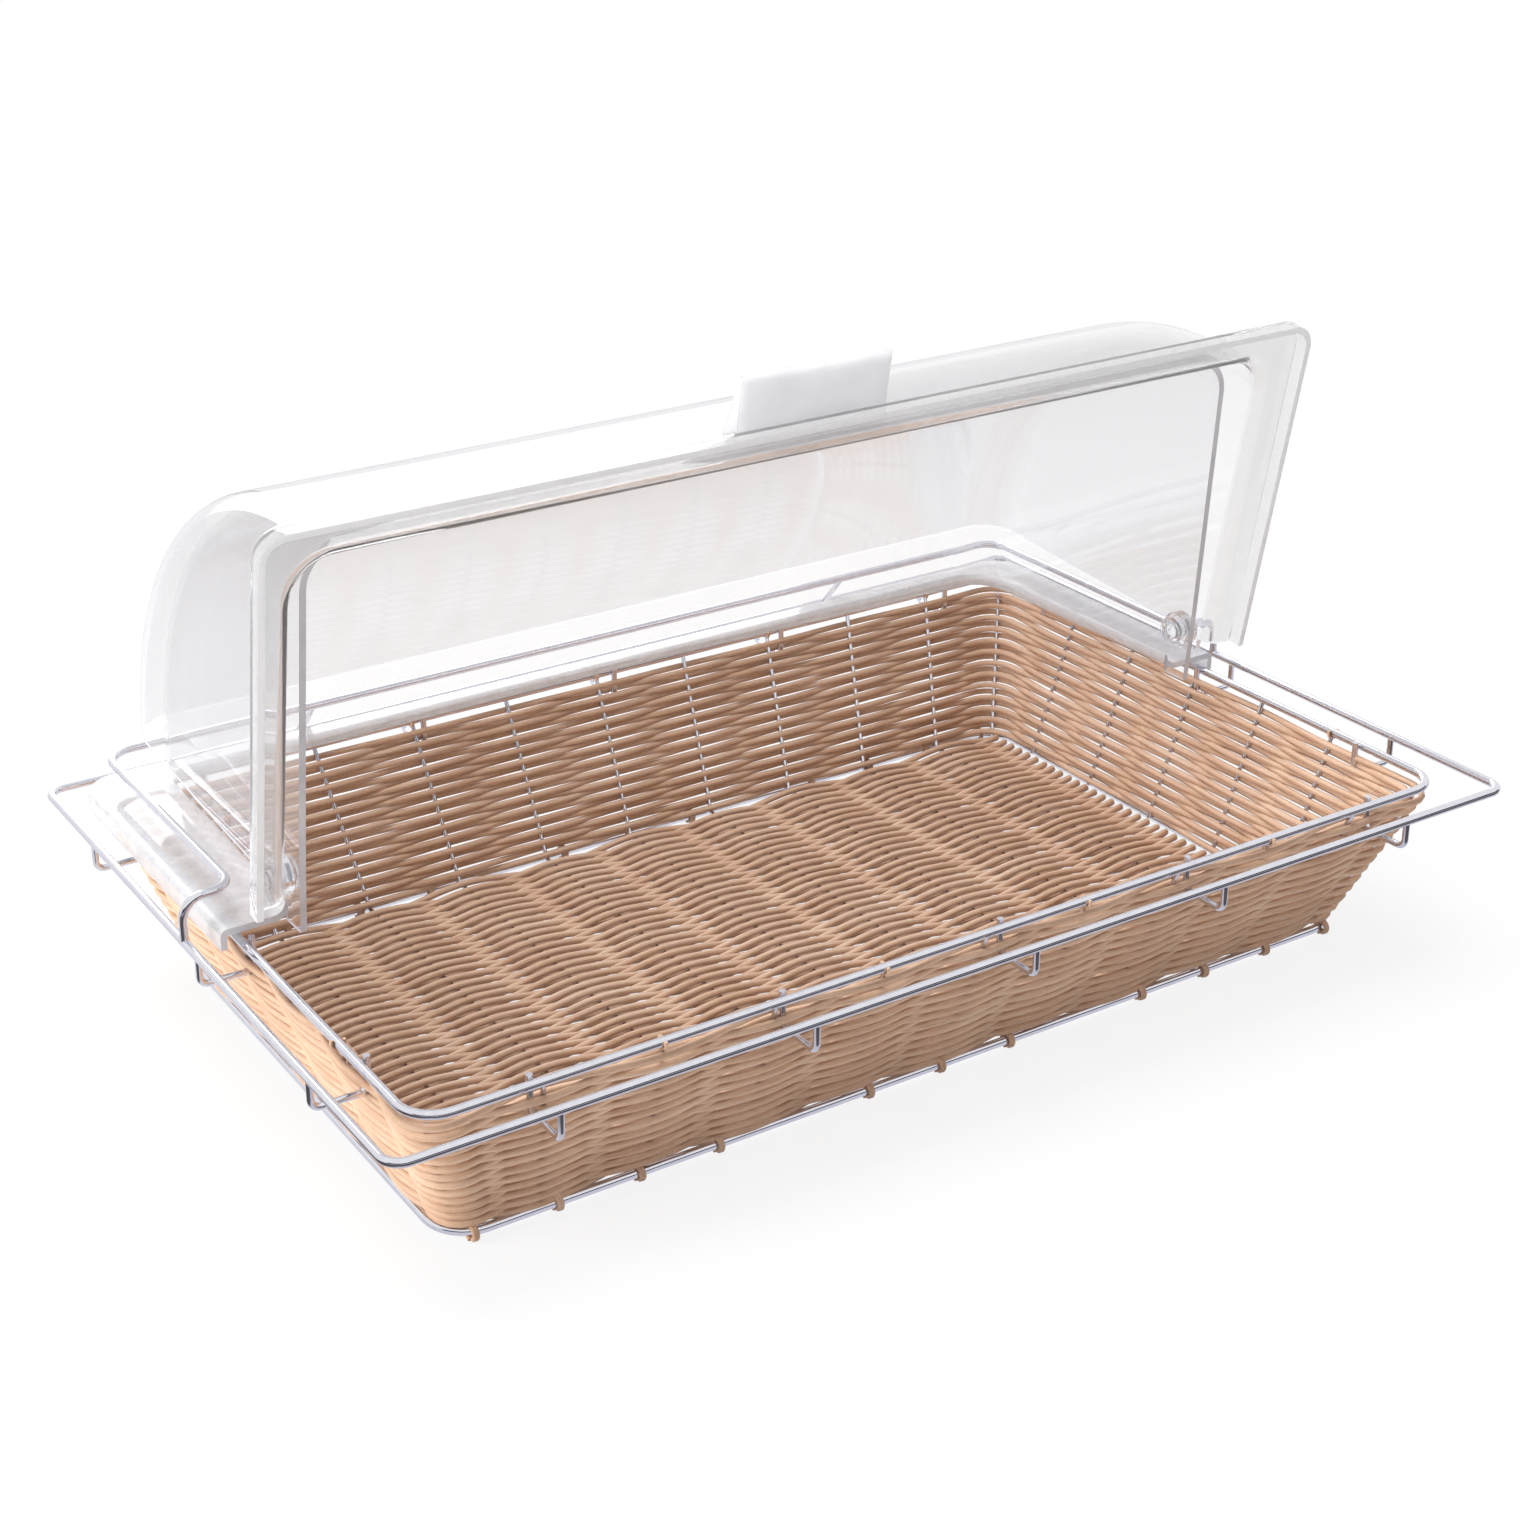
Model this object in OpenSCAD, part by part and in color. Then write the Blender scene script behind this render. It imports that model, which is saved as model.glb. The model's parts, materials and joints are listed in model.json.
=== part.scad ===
// Countertop bread display bin: a woven basket on a wire frame hangs by its rim in a wire
// stand, under a clear roll-top hood. The hood's rear half is fixed, and its front half, the
// lid, turns about two pins and rolls back over the rear half.
// Millimetres. +X is to the right, +Y to the back, +Z up. The origin is on the table, under
// the middle of the basket. The lid is drawn open.

/* [Basket wires] */
// Outside length of the basket's rim
rim_length = 530; // [500:1:580]
// Outside width of the basket's rim, front to back
rim_width = 325; // [300:1:345]
// Height of the rim wire's centre above the table
rim_height = 82; // [72:1:105]
// Diameter of the rim wire
rim_wire = 4; // [3:0.5:5]
// Corner radius of the rim, at the wire's centre
rim_corner = 15; // [12:1:25]
// Distance that each end wall leans in from the rim to the bottom ring
end_taper = 24.3; // [15:0.1:32]
// Distance that the front and back walls lean in from the rim to the bottom ring
side_taper = 29.5; // [18:0.1:36]
// Diameter of the bottom ring's wire
foot_wire = 4; // [3:0.5:5]
// Corner radius of the bottom ring, at the wire's centre
foot_corner = 18; // [14:1:25]
// Diameter of the stake wires inside the weave
stake_wire = 2.3; // [1.8:0.1:3]
// Number of stakes that run front to back under the floor
long_stake_count = 9; // [5:2:9]
// Spacing of those stakes along the rim
long_stake_pitch = 52.5; // [40:0.5:54]
// Spacing of those stakes across the floor
floor_stake_pitch = 49; // [38:0.5:50]
// Number of stakes in each end wall
end_stake_count = 5; // [3:2:5]
// Spacing of the end stakes
end_stake_pitch = 47; // [35:0.5:48]
// Height below the rim at which a corner stake turns in
corner_stake_drop = 7; // [6:0.5:12]
// Length of a corner stake's turned-in end
corner_stake_tail = 7; // [5:0.5:10]

/* [Weave] */
// Diameter of a strand
strand = 3.2; // [2.6:0.1:3.4]
// Number of rows in the walls
wall_rows = 26; // [12:1:28]
// Number of strands across the floor
floor_strands = 74; // [40:2:78]
// Share of a full swing that a row has where it enters and leaves a corner
corner_swing = 0.55; // [0.2:0.05:0.9]
// Thickness of a strand that is wound round a wire
lash_thick = 2; // [1:0.1:2.5]
// Width of a rim lashing, along the wire
rim_lash_width = 3.4; // [2:0.2:8]
// Spacing of the lashings along the front and back rims
rim_lash_pitch = 105; // [80:1:108]
// Distance of the end lashings from the middle of the rim's ends
end_lash_offset = 94; // [60:1:110]
// Width of a bottom lashing, along the wire
foot_lash_width = 6; // [3:0.5:10]
// Spacing of the lashings along the bottom ring
foot_lash_pitch = 37.9; // [30:0.1:38]

/* [Stand] */
// Clear gap between the basket's rim and the stand's ring
ring_gap = 16.2; // [14:0.1:24]
// Diameter of the ring's wire
ring_wire = 4; // [3:0.5:5]
// Corner radius of the ring, at the wire's centre
ring_corner = 8; // [6:1:16]
// Diameter of the rail's wire
rail_wire = 4; // [3:0.5:5]
// Height of the rail's centre above the ring's centre
rail_height = 19.8; // [18:0.1:30]
// Distance from the ring's centre in to the rail's side runs
rail_inset = 23; // [20:0.5:24]
// Distance from the rim wire's centre back to the rail's back run
rail_setback = 3; // [0:0.5:6]
// Distance of the rail's legs behind the middle of the stand
rail_leg_y = 11.2; // [9:0.1:20]
// Bend radius at the top of the rail's legs
rail_bend = 10; // [6:0.5:10]
// Bend radius of the rail's back corners
rail_corner = 14; // [8:0.5:20]
// Distance of each strut from the middle of the rail
strut_offset = 155; // [120:1:190]
// Diameter of the struts and hooks
hook_wire = 3; // [2:0.5:3.5]
// Depth of the hooks below the ring, centre to centre
hook_drop = 13.2; // [11:0.1:16]
// Height of a hook's inner end above the rim wire's centre
hook_rise = 2.5; // [1:0.1:3]
// Bend radius of the hooks
hook_bend = 4; // [2.5:0.5:6]
// Clearance between a hook and the rim
hook_clear = 0.1; // [0.05:0.05:0.3]
// Places of the hooks along the front and back, from the middle
long_hook_places = [-214, -100, 9, 112, 221];
// Places of the hooks along the ends, from the middle
end_hook_places = [-112, -3, 118];

/* [Hood] */
// Thickness of the clear sheet
sheet = 3; // [2:0.1:3.5]
// Distance of the rear shell's end walls inside the rim's outside
shell_inset = 22.5; // [20:0.5:30]
// Distance of the rear shell's back inside the rim's outside
shell_back_inset = 14; // [10:0.5:20]
// Corner radius of the rear shell, outside
shell_corner = 20; // [12:0.5:25]
// Lean of the rear shell's end walls towards the top, in degrees
shell_draft = 1.5; // [0:0.1:2]
// Distance of the rear shell's front edge ahead of the hinge
edge_forward = 12; // [10:0.5:16]
// Forward lean of the rear shell's front edge, in degrees
edge_lean = 5.3; // [0:0.1:8]
// Clear gap between the base flange and the ring
flange_gap = 9.4; // [8:0.1:14]
// Corner radius of the base flange, outside
flange_corner = 16; // [8:0.5:20]
// Depth of the base flange's skirt, from the flange's underside
skirt_drop = 6.5; // [3:0.1:8]
// Distance of the base flange's front ends behind the middle of the stand
flange_front = 0; // [0:0.5:4]

/* [Hinge] */
// Distance of the hinge in front of the middle of the stand
hinge_forward = 4.2; // [3:0.1:8]
// Height of the hinge above the rim wire's centre
hinge_height = 27.5; // [26:0.1:36]
// Diameter of a hinge pin
pin_dia = 8; // [6:0.5:9]
// Diameter of a pin's head
head_dia = 14; // [11:0.5:16]
// Thickness of a pin's head
head_thick = 2; // [1.5:0.1:3]
// Distance that a pin's end stands out of the lid
pin_end = 1; // [0.5:0.1:2]
// Outside diameter of a hinge spacer
spacer_dia = 18; // [14:0.5:20]
// Distance between the rear shell's and the lid's end walls
spacer_gap = 6; // [4:0.5:8]
// Radial clearance of a pin in its holes
pin_clear = 0.05; // [0.02:0.01:0.1]
// End clearance between a spacer and the lid
spacer_clear = 0.2; // [0.1:0.05:0.3]

/* [Lid] */
// Angle that the lid is drawn open
lid_open = 80; // [0:1:80]
// Clearance between the rear shell and the lid over it
roll_clear = 1.5; // [1:0.1:3]
// Corner radius of the lid, outside
lid_corner = 23; // [14:0.5:26]
// Depth of the lid's flange below the hinge, to its top face
lid_flange_drop = 13.9; // [13:0.1:15]
// Width of the lid's flange beyond its end walls
lid_flange_width = 14.4; // [12:0.1:16]
// Clear gap between the closed lid's front lip and the ring
lid_front_gap = 1.2; // [1:0.1:5]
// Corner radius of the lid's flange
lid_flange_corner = 12; // [8:0.5:14]
// Clearance under the closed lid's lip
lip_clear = 0.1; // [0.05:0.05:0.5]
// Distance that the lid's flange runs on behind the hinge
lid_flange_tail = 2; // [1:0.1:3]
// Radius of the lid's rounded ears round the hinge
ear_radius = 12; // [10.5:0.1:12.5]
// Angle between the lid's rear edge and the vertical when the lid is closed
lid_back_lean = 6; // [2:0.5:10]

/* [Handle] */
// Length of the lid's handle
handle_length = 76.5; // [50:0.5:120]
// Distance that the handle stands out of the lid
handle_reach = 31; // [20:0.5:40]
// Distance between the handle's two leaves at the lid, outside
handle_spread = 11.5; // [9:0.1:20]
// Thickness of the handle's sheet
handle_sheet = 1.5; // [1:0.1:2.5]
// Height of the handle's lower leaf above the hinge when the lid is closed
handle_lift = 2; // [0:0.1:20]
// Thickness of the bond between the handle and the lid
bond = 0.1; // [0.05:0.05:0.3]

/* [Hidden] */
$fn = 48;

chrome = [0.80, 0.80, 0.84];
tan_strand = [0.78, 0.60, 0.45];
clear_sheet = [0.90, 0.92, 0.95, 0.35];
satin_grey = [0.85, 0.85, 0.85];
reach = 1000;
seam = 0.05;

// Basket: half sizes at the wires' centres, and the plane of the stakes between them
rim_x = (rim_length - rim_wire) / 2;
rim_y = (rim_width - rim_wire) / 2;
foot_x = rim_x - end_taper;
foot_y = rim_y - side_taper;
foot_z = lash_thick + foot_wire / 2;
stake_tuck = (foot_wire + stake_wire) / 2;
swing = (stake_wire + strand) / 2;
weave_half = swing + strand / 2;
stake_z = weave_half;
lean_x = (end_taper + stake_tuck) / (rim_height - stake_z);
lean_y = (side_taper + stake_tuck) / (rim_height - stake_z);
stake_corner = foot_corner - stake_tuck;
weave_top = rim_height - rim_wire / 2 - lash_thick;
weave_low = foot_z + foot_wire / 2 + strand / 2;
corner_turns = [0, 45, 90];

// Stand
ring_x = rim_x + (rim_wire + ring_wire) / 2 + ring_gap;
ring_y = rim_y + (rim_wire + ring_wire) / 2 + ring_gap;
rail_x = ring_x - rail_inset;
rail_y = rim_y + rail_setback;
rail_z = rim_height + rail_height;
hook_seat = (rim_wire + hook_wire) / 2 + hook_clear;

// Hood: the hinge axis runs along X through [0, hinge_y, hinge_z]
hinge_y = -hinge_forward;
hinge_z = rim_height + hinge_height;
shell_x = rim_length / 2 - shell_inset;
shell_radius = rim_width / 2 - shell_back_inset + hinge_forward;
shell_seat = rim_wire / 2 + lash_thick + seam;
flange_z = rim_height + shell_seat;
flange_x = ring_x - ring_wire / 2 - flange_gap;
flange_y = ring_y - ring_wire / 2 - flange_gap;
lid_x = shell_x + spacer_gap + sheet;
lid_radius = shell_radius + roll_clear + sheet;
lid_flange_x = lid_x + lid_flange_width;
lid_front = ring_y - ring_wire / 2 - lid_front_gap - hinge_forward;
lip_depth = hinge_height - lid_flange_drop - rim_wire / 2 - lash_thick - lip_clear;

// Half width of the stakes' plane at a height, from its half width at the rim and its lean
function stake_half(at_rim, lean, z) = at_rim - lean * (rim_height - z);

// Evenly spaced places on both sides of zero
function spread(count, pitch) = [for (i = [0 : count - 1]) (i - (count - 1) / 2) * pitch];

// A wire that starts at the origin and runs along +Z, with a square bend after each step but
// the last. Each step is [straight length, bend radius, turn of the bend's plane].
module wire(dia, steps, i = 0) {
    run = steps[i][0];
    radius = steps[i][1];
    cylinder(d = dia, h = run);
    if (i < len(steps) - 1)
        translate([0, 0, run]) rotate([0, 0, steps[i][2]]) translate([radius, 0, 0]) {
            rotate([90, 0, 180]) rotate_extrude(angle = 90) translate([radius, 0]) circle(d = dia);
            rotate([0, 90, 0]) translate([-radius, 0, 0]) wire(dia, steps, i + 1);
        }
}

// Turns +Z to point from one place to another, and starts there
module from_to(a, b) {
    d = b - a;
    translate(a) rotate([0, acos(d.z / norm(d)), atan2(d.y, d.x)]) children();
}

// A wire with a tight bend at each point between its ends
module bent_wire(dia, points) {
    for (i = [1 : len(points) - 1])
        from_to(points[i - 1], points[i]) cylinder(d = dia, h = norm(points[i] - points[i - 1]));
    for (i = [1 : len(points) - 2]) translate(points[i]) sphere(d = dia + seam);
}

module both_sides(axis) {
    children();
    mirror(axis) children();
}

// A closed rectangular loop of wire with rounded corners
module wire_loop(half_x, half_y, corner, dia) {
    both_sides([1, 0, 0]) both_sides([0, 1, 0])
        translate([0, -half_y, 0]) rotate([90, 0, 90])
            wire(dia, [[half_x - corner, corner, 0], [half_y - corner]]);
}

module basket_rim() {
    color(chrome) translate([0, 0, rim_height]) wire_loop(rim_x, rim_y, rim_corner, rim_wire);
}

module bottom_ring() {
    color(chrome) translate([0, 0, foot_z]) wire_loop(foot_x, foot_y, foot_corner, foot_wire);
}

// Each long stake is a U: down the front wall, across the floor and up the back wall
module long_stakes() {
    foot_y_in = foot_y - stake_tuck;
    color(chrome) for (i = spread(long_stake_count, 1))
        bent_wire(stake_wire, [
            [i * long_stake_pitch, -rim_y, rim_height],
            [i * floor_stake_pitch, -foot_y_in, stake_z],
            [i * floor_stake_pitch, foot_y_in, stake_z],
            [i * long_stake_pitch, rim_y, rim_height]
        ]);
}

module end_stakes() {
    foot = [foot_x - stake_tuck, 0, stake_z];
    top = [rim_x, 0, rim_height];
    for (y = spread(end_stake_count, end_stake_pitch))
        translate([0, y, 0]) from_to(foot, top) cylinder(d = stake_wire, h = norm(top - foot));
}

module left_end_stakes() {
    color(chrome) mirror([1, 0, 0]) end_stakes();
}

module right_end_stakes() {
    color(chrome) end_stakes();
}

// The middle of a rounded corner's arc
function corner_point(half_x, half_y, corner, z) =
    [half_x - corner * (1 - sqrt(0.5)), half_y - corner * (1 - sqrt(0.5)), z];

// A corner stake's cut end is turned in, level, just under the rim
module corner_stake() {
    turn_z = rim_height - corner_stake_drop;
    foot = corner_point(foot_x - stake_tuck, foot_y - stake_tuck, stake_corner, stake_z);
    top = corner_point(stake_half(rim_x, lean_x, turn_z), stake_half(rim_y, lean_y, turn_z),
        stake_corner, turn_z);
    bent_wire(stake_wire, [foot, top, top - corner_stake_tail * [sqrt(0.5), sqrt(0.5), 0]]);
}

module corner_stakes() {
    color(chrome) both_sides([1, 0, 0]) both_sides([0, 1, 0]) corner_stake();
}

// The places on a rounded corner that a row passes. Each place has its point in plan, its way
// out, the number of its stake and its share of a full swing.
function corner_places(half_x, half_y, start, number) = [
    for (turn = corner_turns)
        let (way = [cos(start + turn), sin(start + turn)], middle = start + 45)
        [
            [sign(cos(middle)) * (half_x - stake_corner), sign(sin(middle)) * (half_y - stake_corner)]
                + stake_corner * way,
            way, number, turn == 45 ? 1 : corner_swing
        ]
];

// The places that a row passes at a height, from the front left and anticlockwise
function row_places(z) =
    let (
        half_x = stake_half(rim_x, lean_x, z),
        half_y = stake_half(rim_y, lean_y, z),
        rise = (z - stake_z) / (rim_height - stake_z),
        pitch = floor_stake_pitch + (long_stake_pitch - floor_stake_pitch) * rise,
        long = spread(long_stake_count, pitch),
        short = spread(end_stake_count, end_stake_pitch),
        side = len(long) + 1 + len(short) + 1
    )
    [for (half_turn = [0, 1])
        let (turned = 1 - 2 * half_turn, first = half_turn * side)
        each concat(
            [for (i = [0 : len(long) - 1]) [turned * [long[i], -half_y], turned * [0, -1], first + i, 1]],
            corner_places(half_x, half_y, 180 * half_turn - 90, first + len(long)),
            [for (i = [0 : len(short) - 1])
                [turned * [half_x, short[i]], turned * [1, 0], first + len(long) + 1 + i, 1]],
            corner_places(half_x, half_y, 180 * half_turn, first + side - 1)
        )];

// A row's points at a height, moved out from the middle of its strand. Every other stake has
// the row on its other side.
function row_points(z, row, out) = [
    for (place = row_places(z))
        let (side = (place[2] + row) % 2 == 0 ? 1 : -1, moved = side * place[3] * swing + out)
        [place[0].x + moved * place[1].x, place[0].y + moved * place[1].y, z]
];

// The walls as one sheet that passes outside one stake and inside the next, row by row
module wall_weave() {
    rise = (weave_top - strand / 2 - weave_low) / (wall_rows - 1);
    levels = concat(
        [[weave_low - strand / 2, 0]],
        [for (row = [0 : wall_rows - 1]) [weave_low + row * rise, row]],
        [[weave_top, wall_rows - 1]]
    );
    places = len(row_places(weave_low));
    points = [
        for (out = [strand / 2, -strand / 2], level = levels) each row_points(level[0], level[1], out)
    ];
    inner = len(levels) * places;
    top = (len(levels) - 1) * places;
    faces = [
        for (i = [0 : places - 1])
            let (j = (i + 1) % places)
            each concat(
                [for (low = [0 : places : top - places])
                    let (high = low + places)
                    each [
                        [low + i, high + i, high + j], [low + i, high + j, low + j],
                        [inner + low + i, inner + high + j, inner + high + i],
                        [inner + low + i, inner + low + j, inner + high + j]
                    ]],
                [
                    [top + i, inner + top + i, inner + top + j], [top + i, inner + top + j, top + j],
                    [i, inner + j, inner + i], [i, j, inner + j]
                ]
            )
    ];
    color(tan_strand) polyhedron(points, faces);
}

// Where the walls end a line of the floor at a height: the line's half length and its place in
// Y. The line is named by its share of the way from the middle to the edge.
function floor_line(z, share) =
    let (
        half_x = stake_half(rim_x, lean_x, z) - weave_half - seam,
        half_y = stake_half(rim_y, lean_y, z) - weave_half - seam,
        corner = stake_corner - weave_half,
        over = max(0, abs(share) * half_y - half_y + corner)
    )
    [half_x - corner + sqrt(max(0, corner * corner - over * over)), share * half_y];

// The floor is one slab. Its top rises over one stake and dips under the next, strand by strand,
// and its edge is level.
module floor_weave() {
    stakes = spread(long_stake_count, floor_stake_pitch);
    wide = len(stakes) + 2;
    last = floor_strands + 1;
    edge_z = stake_z + strand / 2;
    shares = [for (j = [0 : last]) 2 * j / last - 1];
    points = concat(
        [for (j = [0 : last], i = [0 : wide - 1])
            let (
                line = floor_line(edge_z, shares[j]),
                inner = i > 0 && i < wide - 1 && j > 0 && j < last,
                side = inner ? ((i + j) % 2 == 0 ? 1 : -1) : 0
            )
            [i == 0 ? -line[0] : i == wide - 1 ? line[0] : stakes[i - 1], line[1], edge_z + side * swing]],
        [for (share = shares, side = [-1, 1])
            let (line = floor_line(0, share))
            [side * line[0], line[1], 0]]
    );
    base = wide * (last + 1);
    faces = concat(
        [for (j = [0 : last - 1], i = [0 : wide - 2])
            let (low = wide * j + i, high = low + wide)
            each [[low, high, high + 1], [low, high + 1, low + 1]]],
        [for (j = [0 : last - 1])
            let (low = wide * j, high = low + wide, under = base + 2 * j)
            each [
                [under, under + 1, under + 3], [under, under + 3, under + 2],
                [under, under + 2, high], [under, high, low],
                [under + 1, low + wide - 1, high + wide - 1], [under + 1, high + wide - 1, under + 3]
            ]],
        [for (i = [0 : wide - 2])
            each [[base, i, i + 1], [base + 2 * last, wide * last + i + 1, wide * last + i]]],
        [
            [base, wide - 1, base + 1],
            [base + 2 * last, base + 2 * last + 1, wide * last + wide - 1]
        ]
    );
    color(tan_strand) polyhedron(points, faces);
}

// A sleeve round a wire that runs along X
module lashing(wire_dia, width) {
    translate([-width / 2, 0, 0]) rotate([0, 90, 0]) difference() {
        cylinder(d = wire_dia + 2 * lash_thick, h = width);
        translate([0, 0, -width]) cylinder(d = wire_dia + 2 * seam, h = 3 * width);
    }
}

module rim_lashings() {
    color(tan_strand) translate([0, 0, rim_height]) {
        for (x = spread(5, rim_lash_pitch)) translate([x, rim_y, 0]) lashing(rim_wire, rim_lash_width);
        for (x = spread(4, rim_lash_pitch)) translate([x, -rim_y, 0]) lashing(rim_wire, rim_lash_width);
        for (side_x = [-1, 1], side_y = [-1, 1])
            translate([side_x * rim_x, side_y * end_lash_offset, 0]) rotate([0, 0, 90])
                lashing(rim_wire, rim_lash_width);
    }
}

// Every place in the row along the front and back has a lashing but the second from the middle
module bottom_lashings() {
    count = floor(foot_x / foot_lash_pitch);
    color(tan_strand) for (i = [-count : count], side_y = [-1, 1])
        if (abs(i) != 2)
            translate([i * foot_lash_pitch, side_y * foot_y, foot_z]) lashing(foot_wire, foot_lash_width);
}

module outer_ring() {
    color(chrome) translate([0, 0, rim_height]) wire_loop(ring_x, ring_y, ring_corner, ring_wire);
}

// Each leg rises from the ring, turns in, then back, and meets the other behind the hood
module upper_rail() {
    color(chrome) both_sides([1, 0, 0])
        translate([-ring_x, rail_leg_y, rim_height])
            wire(rail_wire, [
                [rail_height - rail_bend, rail_bend, 0],
                [rail_inset - 2 * rail_bend, rail_bend, 90],
                [rail_y - rail_leg_y - rail_bend - rail_corner, rail_corner, 180],
                [rail_x - rail_corner]
            ]);
}

module rail_struts() {
    top = [strut_offset, rail_y, rail_z];
    foot = [strut_offset, ring_y, rim_height];
    color(chrome) both_sides([1, 0, 0])
        from_to(foot, top) cylinder(d = hook_wire, h = norm(top - foot));
}

// A hook hangs from the ring, runs in under the rim and turns up behind it
module hook() {
    inner_run = ring_x - rim_x + hook_seat - 2 * hook_bend;
    translate([0, 0, rim_height]) rotate([180, 0, 90])
        wire(hook_wire, [
            [hook_drop - hook_bend, hook_bend, 0],
            [inner_run, hook_bend, 0],
            [hook_drop + hook_rise - hook_bend]
        ]);
}

module front_hooks() {
    color(chrome) for (x = long_hook_places) translate([x, -ring_y, 0]) hook();
}

module back_hooks() {
    color(chrome) for (x = long_hook_places) translate([x, ring_y, 0]) mirror([0, 1, 0]) hook();
}

module left_hooks() {
    color(chrome) for (y = end_hook_places) translate([-ring_x, y, 0]) rotate([0, 0, -90]) hook();
}

module right_hooks() {
    color(chrome) for (y = end_hook_places) translate([ring_x, y, 0]) rotate([0, 0, 90]) hook();
}

// Sweeps a section about the hinge, upwards from the back. The section's first axis is the
// distance from the hinge and its second runs along the hinge.
module about_hinge(angle) {
    translate([0, hinge_y, hinge_z]) rotate([90, 0, 90]) rotate_extrude(angle = angle) children();
}

// Half of a roll-top's section, with end walls that lean in and rounded outer corners
module roll_section(radius, half_length, corner, draft) {
    centre_r = radius - corner;
    centre_x = half_length - centre_r * tan(draft) - corner / cos(draft);
    union() {
        polygon([
            [0, -half_length],
            [centre_r + corner * sin(draft), -centre_x - corner * cos(draft)],
            [centre_r, -centre_x],
            [radius, -centre_x],
            [radius, centre_x],
            [centre_r, centre_x],
            [centre_r + corner * sin(draft), centre_x + corner * cos(draft)],
            [0, half_length]
        ]);
        for (side = [-1, 1]) translate([centre_r, side * centre_x]) circle(r = corner);
    }
}

// The rear shell's filled shape, or its hollow where the skin is taken off
module rear_form(skin, bottom) {
    radius = shell_radius - skin;
    half_length = shell_x - skin;
    about_hinge(180) roll_section(radius, half_length, shell_corner - skin, shell_draft);
    translate([0, hinge_y, bottom]) linear_extrude(hinge_z - bottom) {
        rotate(90) mirror([0, 1]) roll_section(radius, half_length, shell_corner - skin, shell_draft);
        translate([-half_length, -2 * edge_forward]) square([2 * half_length, 2 * edge_forward]);
    }
}

// The base flange's outline, drawn in from its outside on three sides
module flange_outline(inset) {
    half_x = flange_x - inset;
    corner = flange_corner - inset;
    back = flange_y - inset - corner;
    translate([-half_x, flange_front]) square([2 * half_x, back - flange_front]);
    translate([corner - half_x, back]) square([2 * (half_x - corner), corner]);
    for (side = [-1, 1]) translate([side * (half_x - corner), back]) circle(r = corner);
}

module pin_bores() {
    translate([-reach / 2, hinge_y, hinge_z]) rotate([0, 90, 0])
        cylinder(d = pin_dia + 2 * pin_clear, h = reach);
}

module rear_shell() {
    color(clear_sheet) difference() {
        union() {
            intersection() {
                rear_form(0, flange_z);
                translate([0, hinge_y - edge_forward, hinge_z]) rotate([edge_lean, 0, 0])
                    translate([-reach / 2, 0, -reach / 2]) cube(reach);
            }
            translate([0, 0, flange_z]) linear_extrude(sheet) flange_outline(0);
            translate([0, 0, flange_z - skirt_drop]) linear_extrude(skirt_drop) difference() {
                flange_outline(0);
                flange_outline(sheet);
            }
        }
        rear_form(sheet, flange_z - reach / 4);
        pin_bores();
    }
}

// A pin through the right end: its head inside the rear shell, clear of the wall's lean, and
// its end outside the lid
module hinge_pin() {
    inside = shell_x - sheet - seam - head_dia / 2 * tan(shell_draft);
    translate([inside, hinge_y, hinge_z]) rotate([0, 90, 0]) {
        cylinder(d = pin_dia, h = lid_x + pin_end - inside);
        translate([0, 0, -head_thick]) cylinder(d = head_dia, h = head_thick);
    }
}

module left_hinge_pin() {
    color(satin_grey) mirror([1, 0, 0]) hinge_pin();
}

module right_hinge_pin() {
    color(satin_grey) hinge_pin();
}

module hinge_spacer() {
    translate([shell_x, hinge_y, hinge_z]) rotate([0, 90, 0]) difference() {
        cylinder(d = spacer_dia, h = spacer_gap - spacer_clear);
        translate([0, 0, -spacer_gap]) cylinder(d = pin_dia + 2 * pin_clear, h = 3 * spacer_gap);
    }
}

module left_hinge_spacer() {
    color(clear_sheet) mirror([1, 0, 0]) hinge_spacer();
}

module right_hinge_spacer() {
    color(clear_sheet) hinge_spacer();
}

// Turns the closed lid about the hinge to where it is drawn
module opened() {
    translate([0, hinge_y, hinge_z]) rotate([-lid_open, 0, 0]) translate([0, -hinge_y, -hinge_z])
        children();
}

// The lid flange's outline, drawn in from its outside on three sides
module lid_outline(inset) {
    half_x = lid_flange_x - inset;
    corner = lid_flange_corner - inset;
    front = hinge_y - lid_front + inset + corner;
    tail = hinge_y + lid_flange_tail;
    translate([-half_x, front]) square([2 * half_x, tail - front]);
    translate([corner - half_x, front - corner]) square([2 * (half_x - corner), corner]);
    for (side = [-1, 1]) translate([side * (half_x - corner), front]) circle(r = corner);
}

module closed_lid() {
    flange_top = hinge_z - lid_flange_drop;
    difference() {
        union() {
            difference() {
                about_hinge(360) roll_section(lid_radius, lid_x, lid_corner, 0);
                translate([-reach / 2, -reach / 2, flange_top - sheet - reach]) cube(reach);
                translate([0, hinge_y, hinge_z]) rotate([-lid_back_lean, 0, 0])
                    translate([-reach / 2, 0, -reach / 2]) cube(reach);
            }
            for (side = [-1, 1]) translate([side * (lid_x - sheet / 2), hinge_y, hinge_z]) {
                rotate([0, 90, 0]) cylinder(r = ear_radius, h = sheet, center = true);
                translate([-sheet / 2, -ear_radius, -lid_flange_drop - sheet])
                    cube([sheet, ear_radius + lid_flange_tail, lid_flange_drop + sheet]);
            }
            translate([0, 0, flange_top - sheet]) linear_extrude(sheet) lid_outline(0);
            translate([0, 0, flange_top - lip_depth]) linear_extrude(lip_depth) difference() {
                lid_outline(0);
                lid_outline(sheet);
            }
        }
        about_hinge(360) roll_section(lid_radius - sheet, lid_x - sheet, lid_corner - sheet, 0);
        pin_bores();
    }
}

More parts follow.
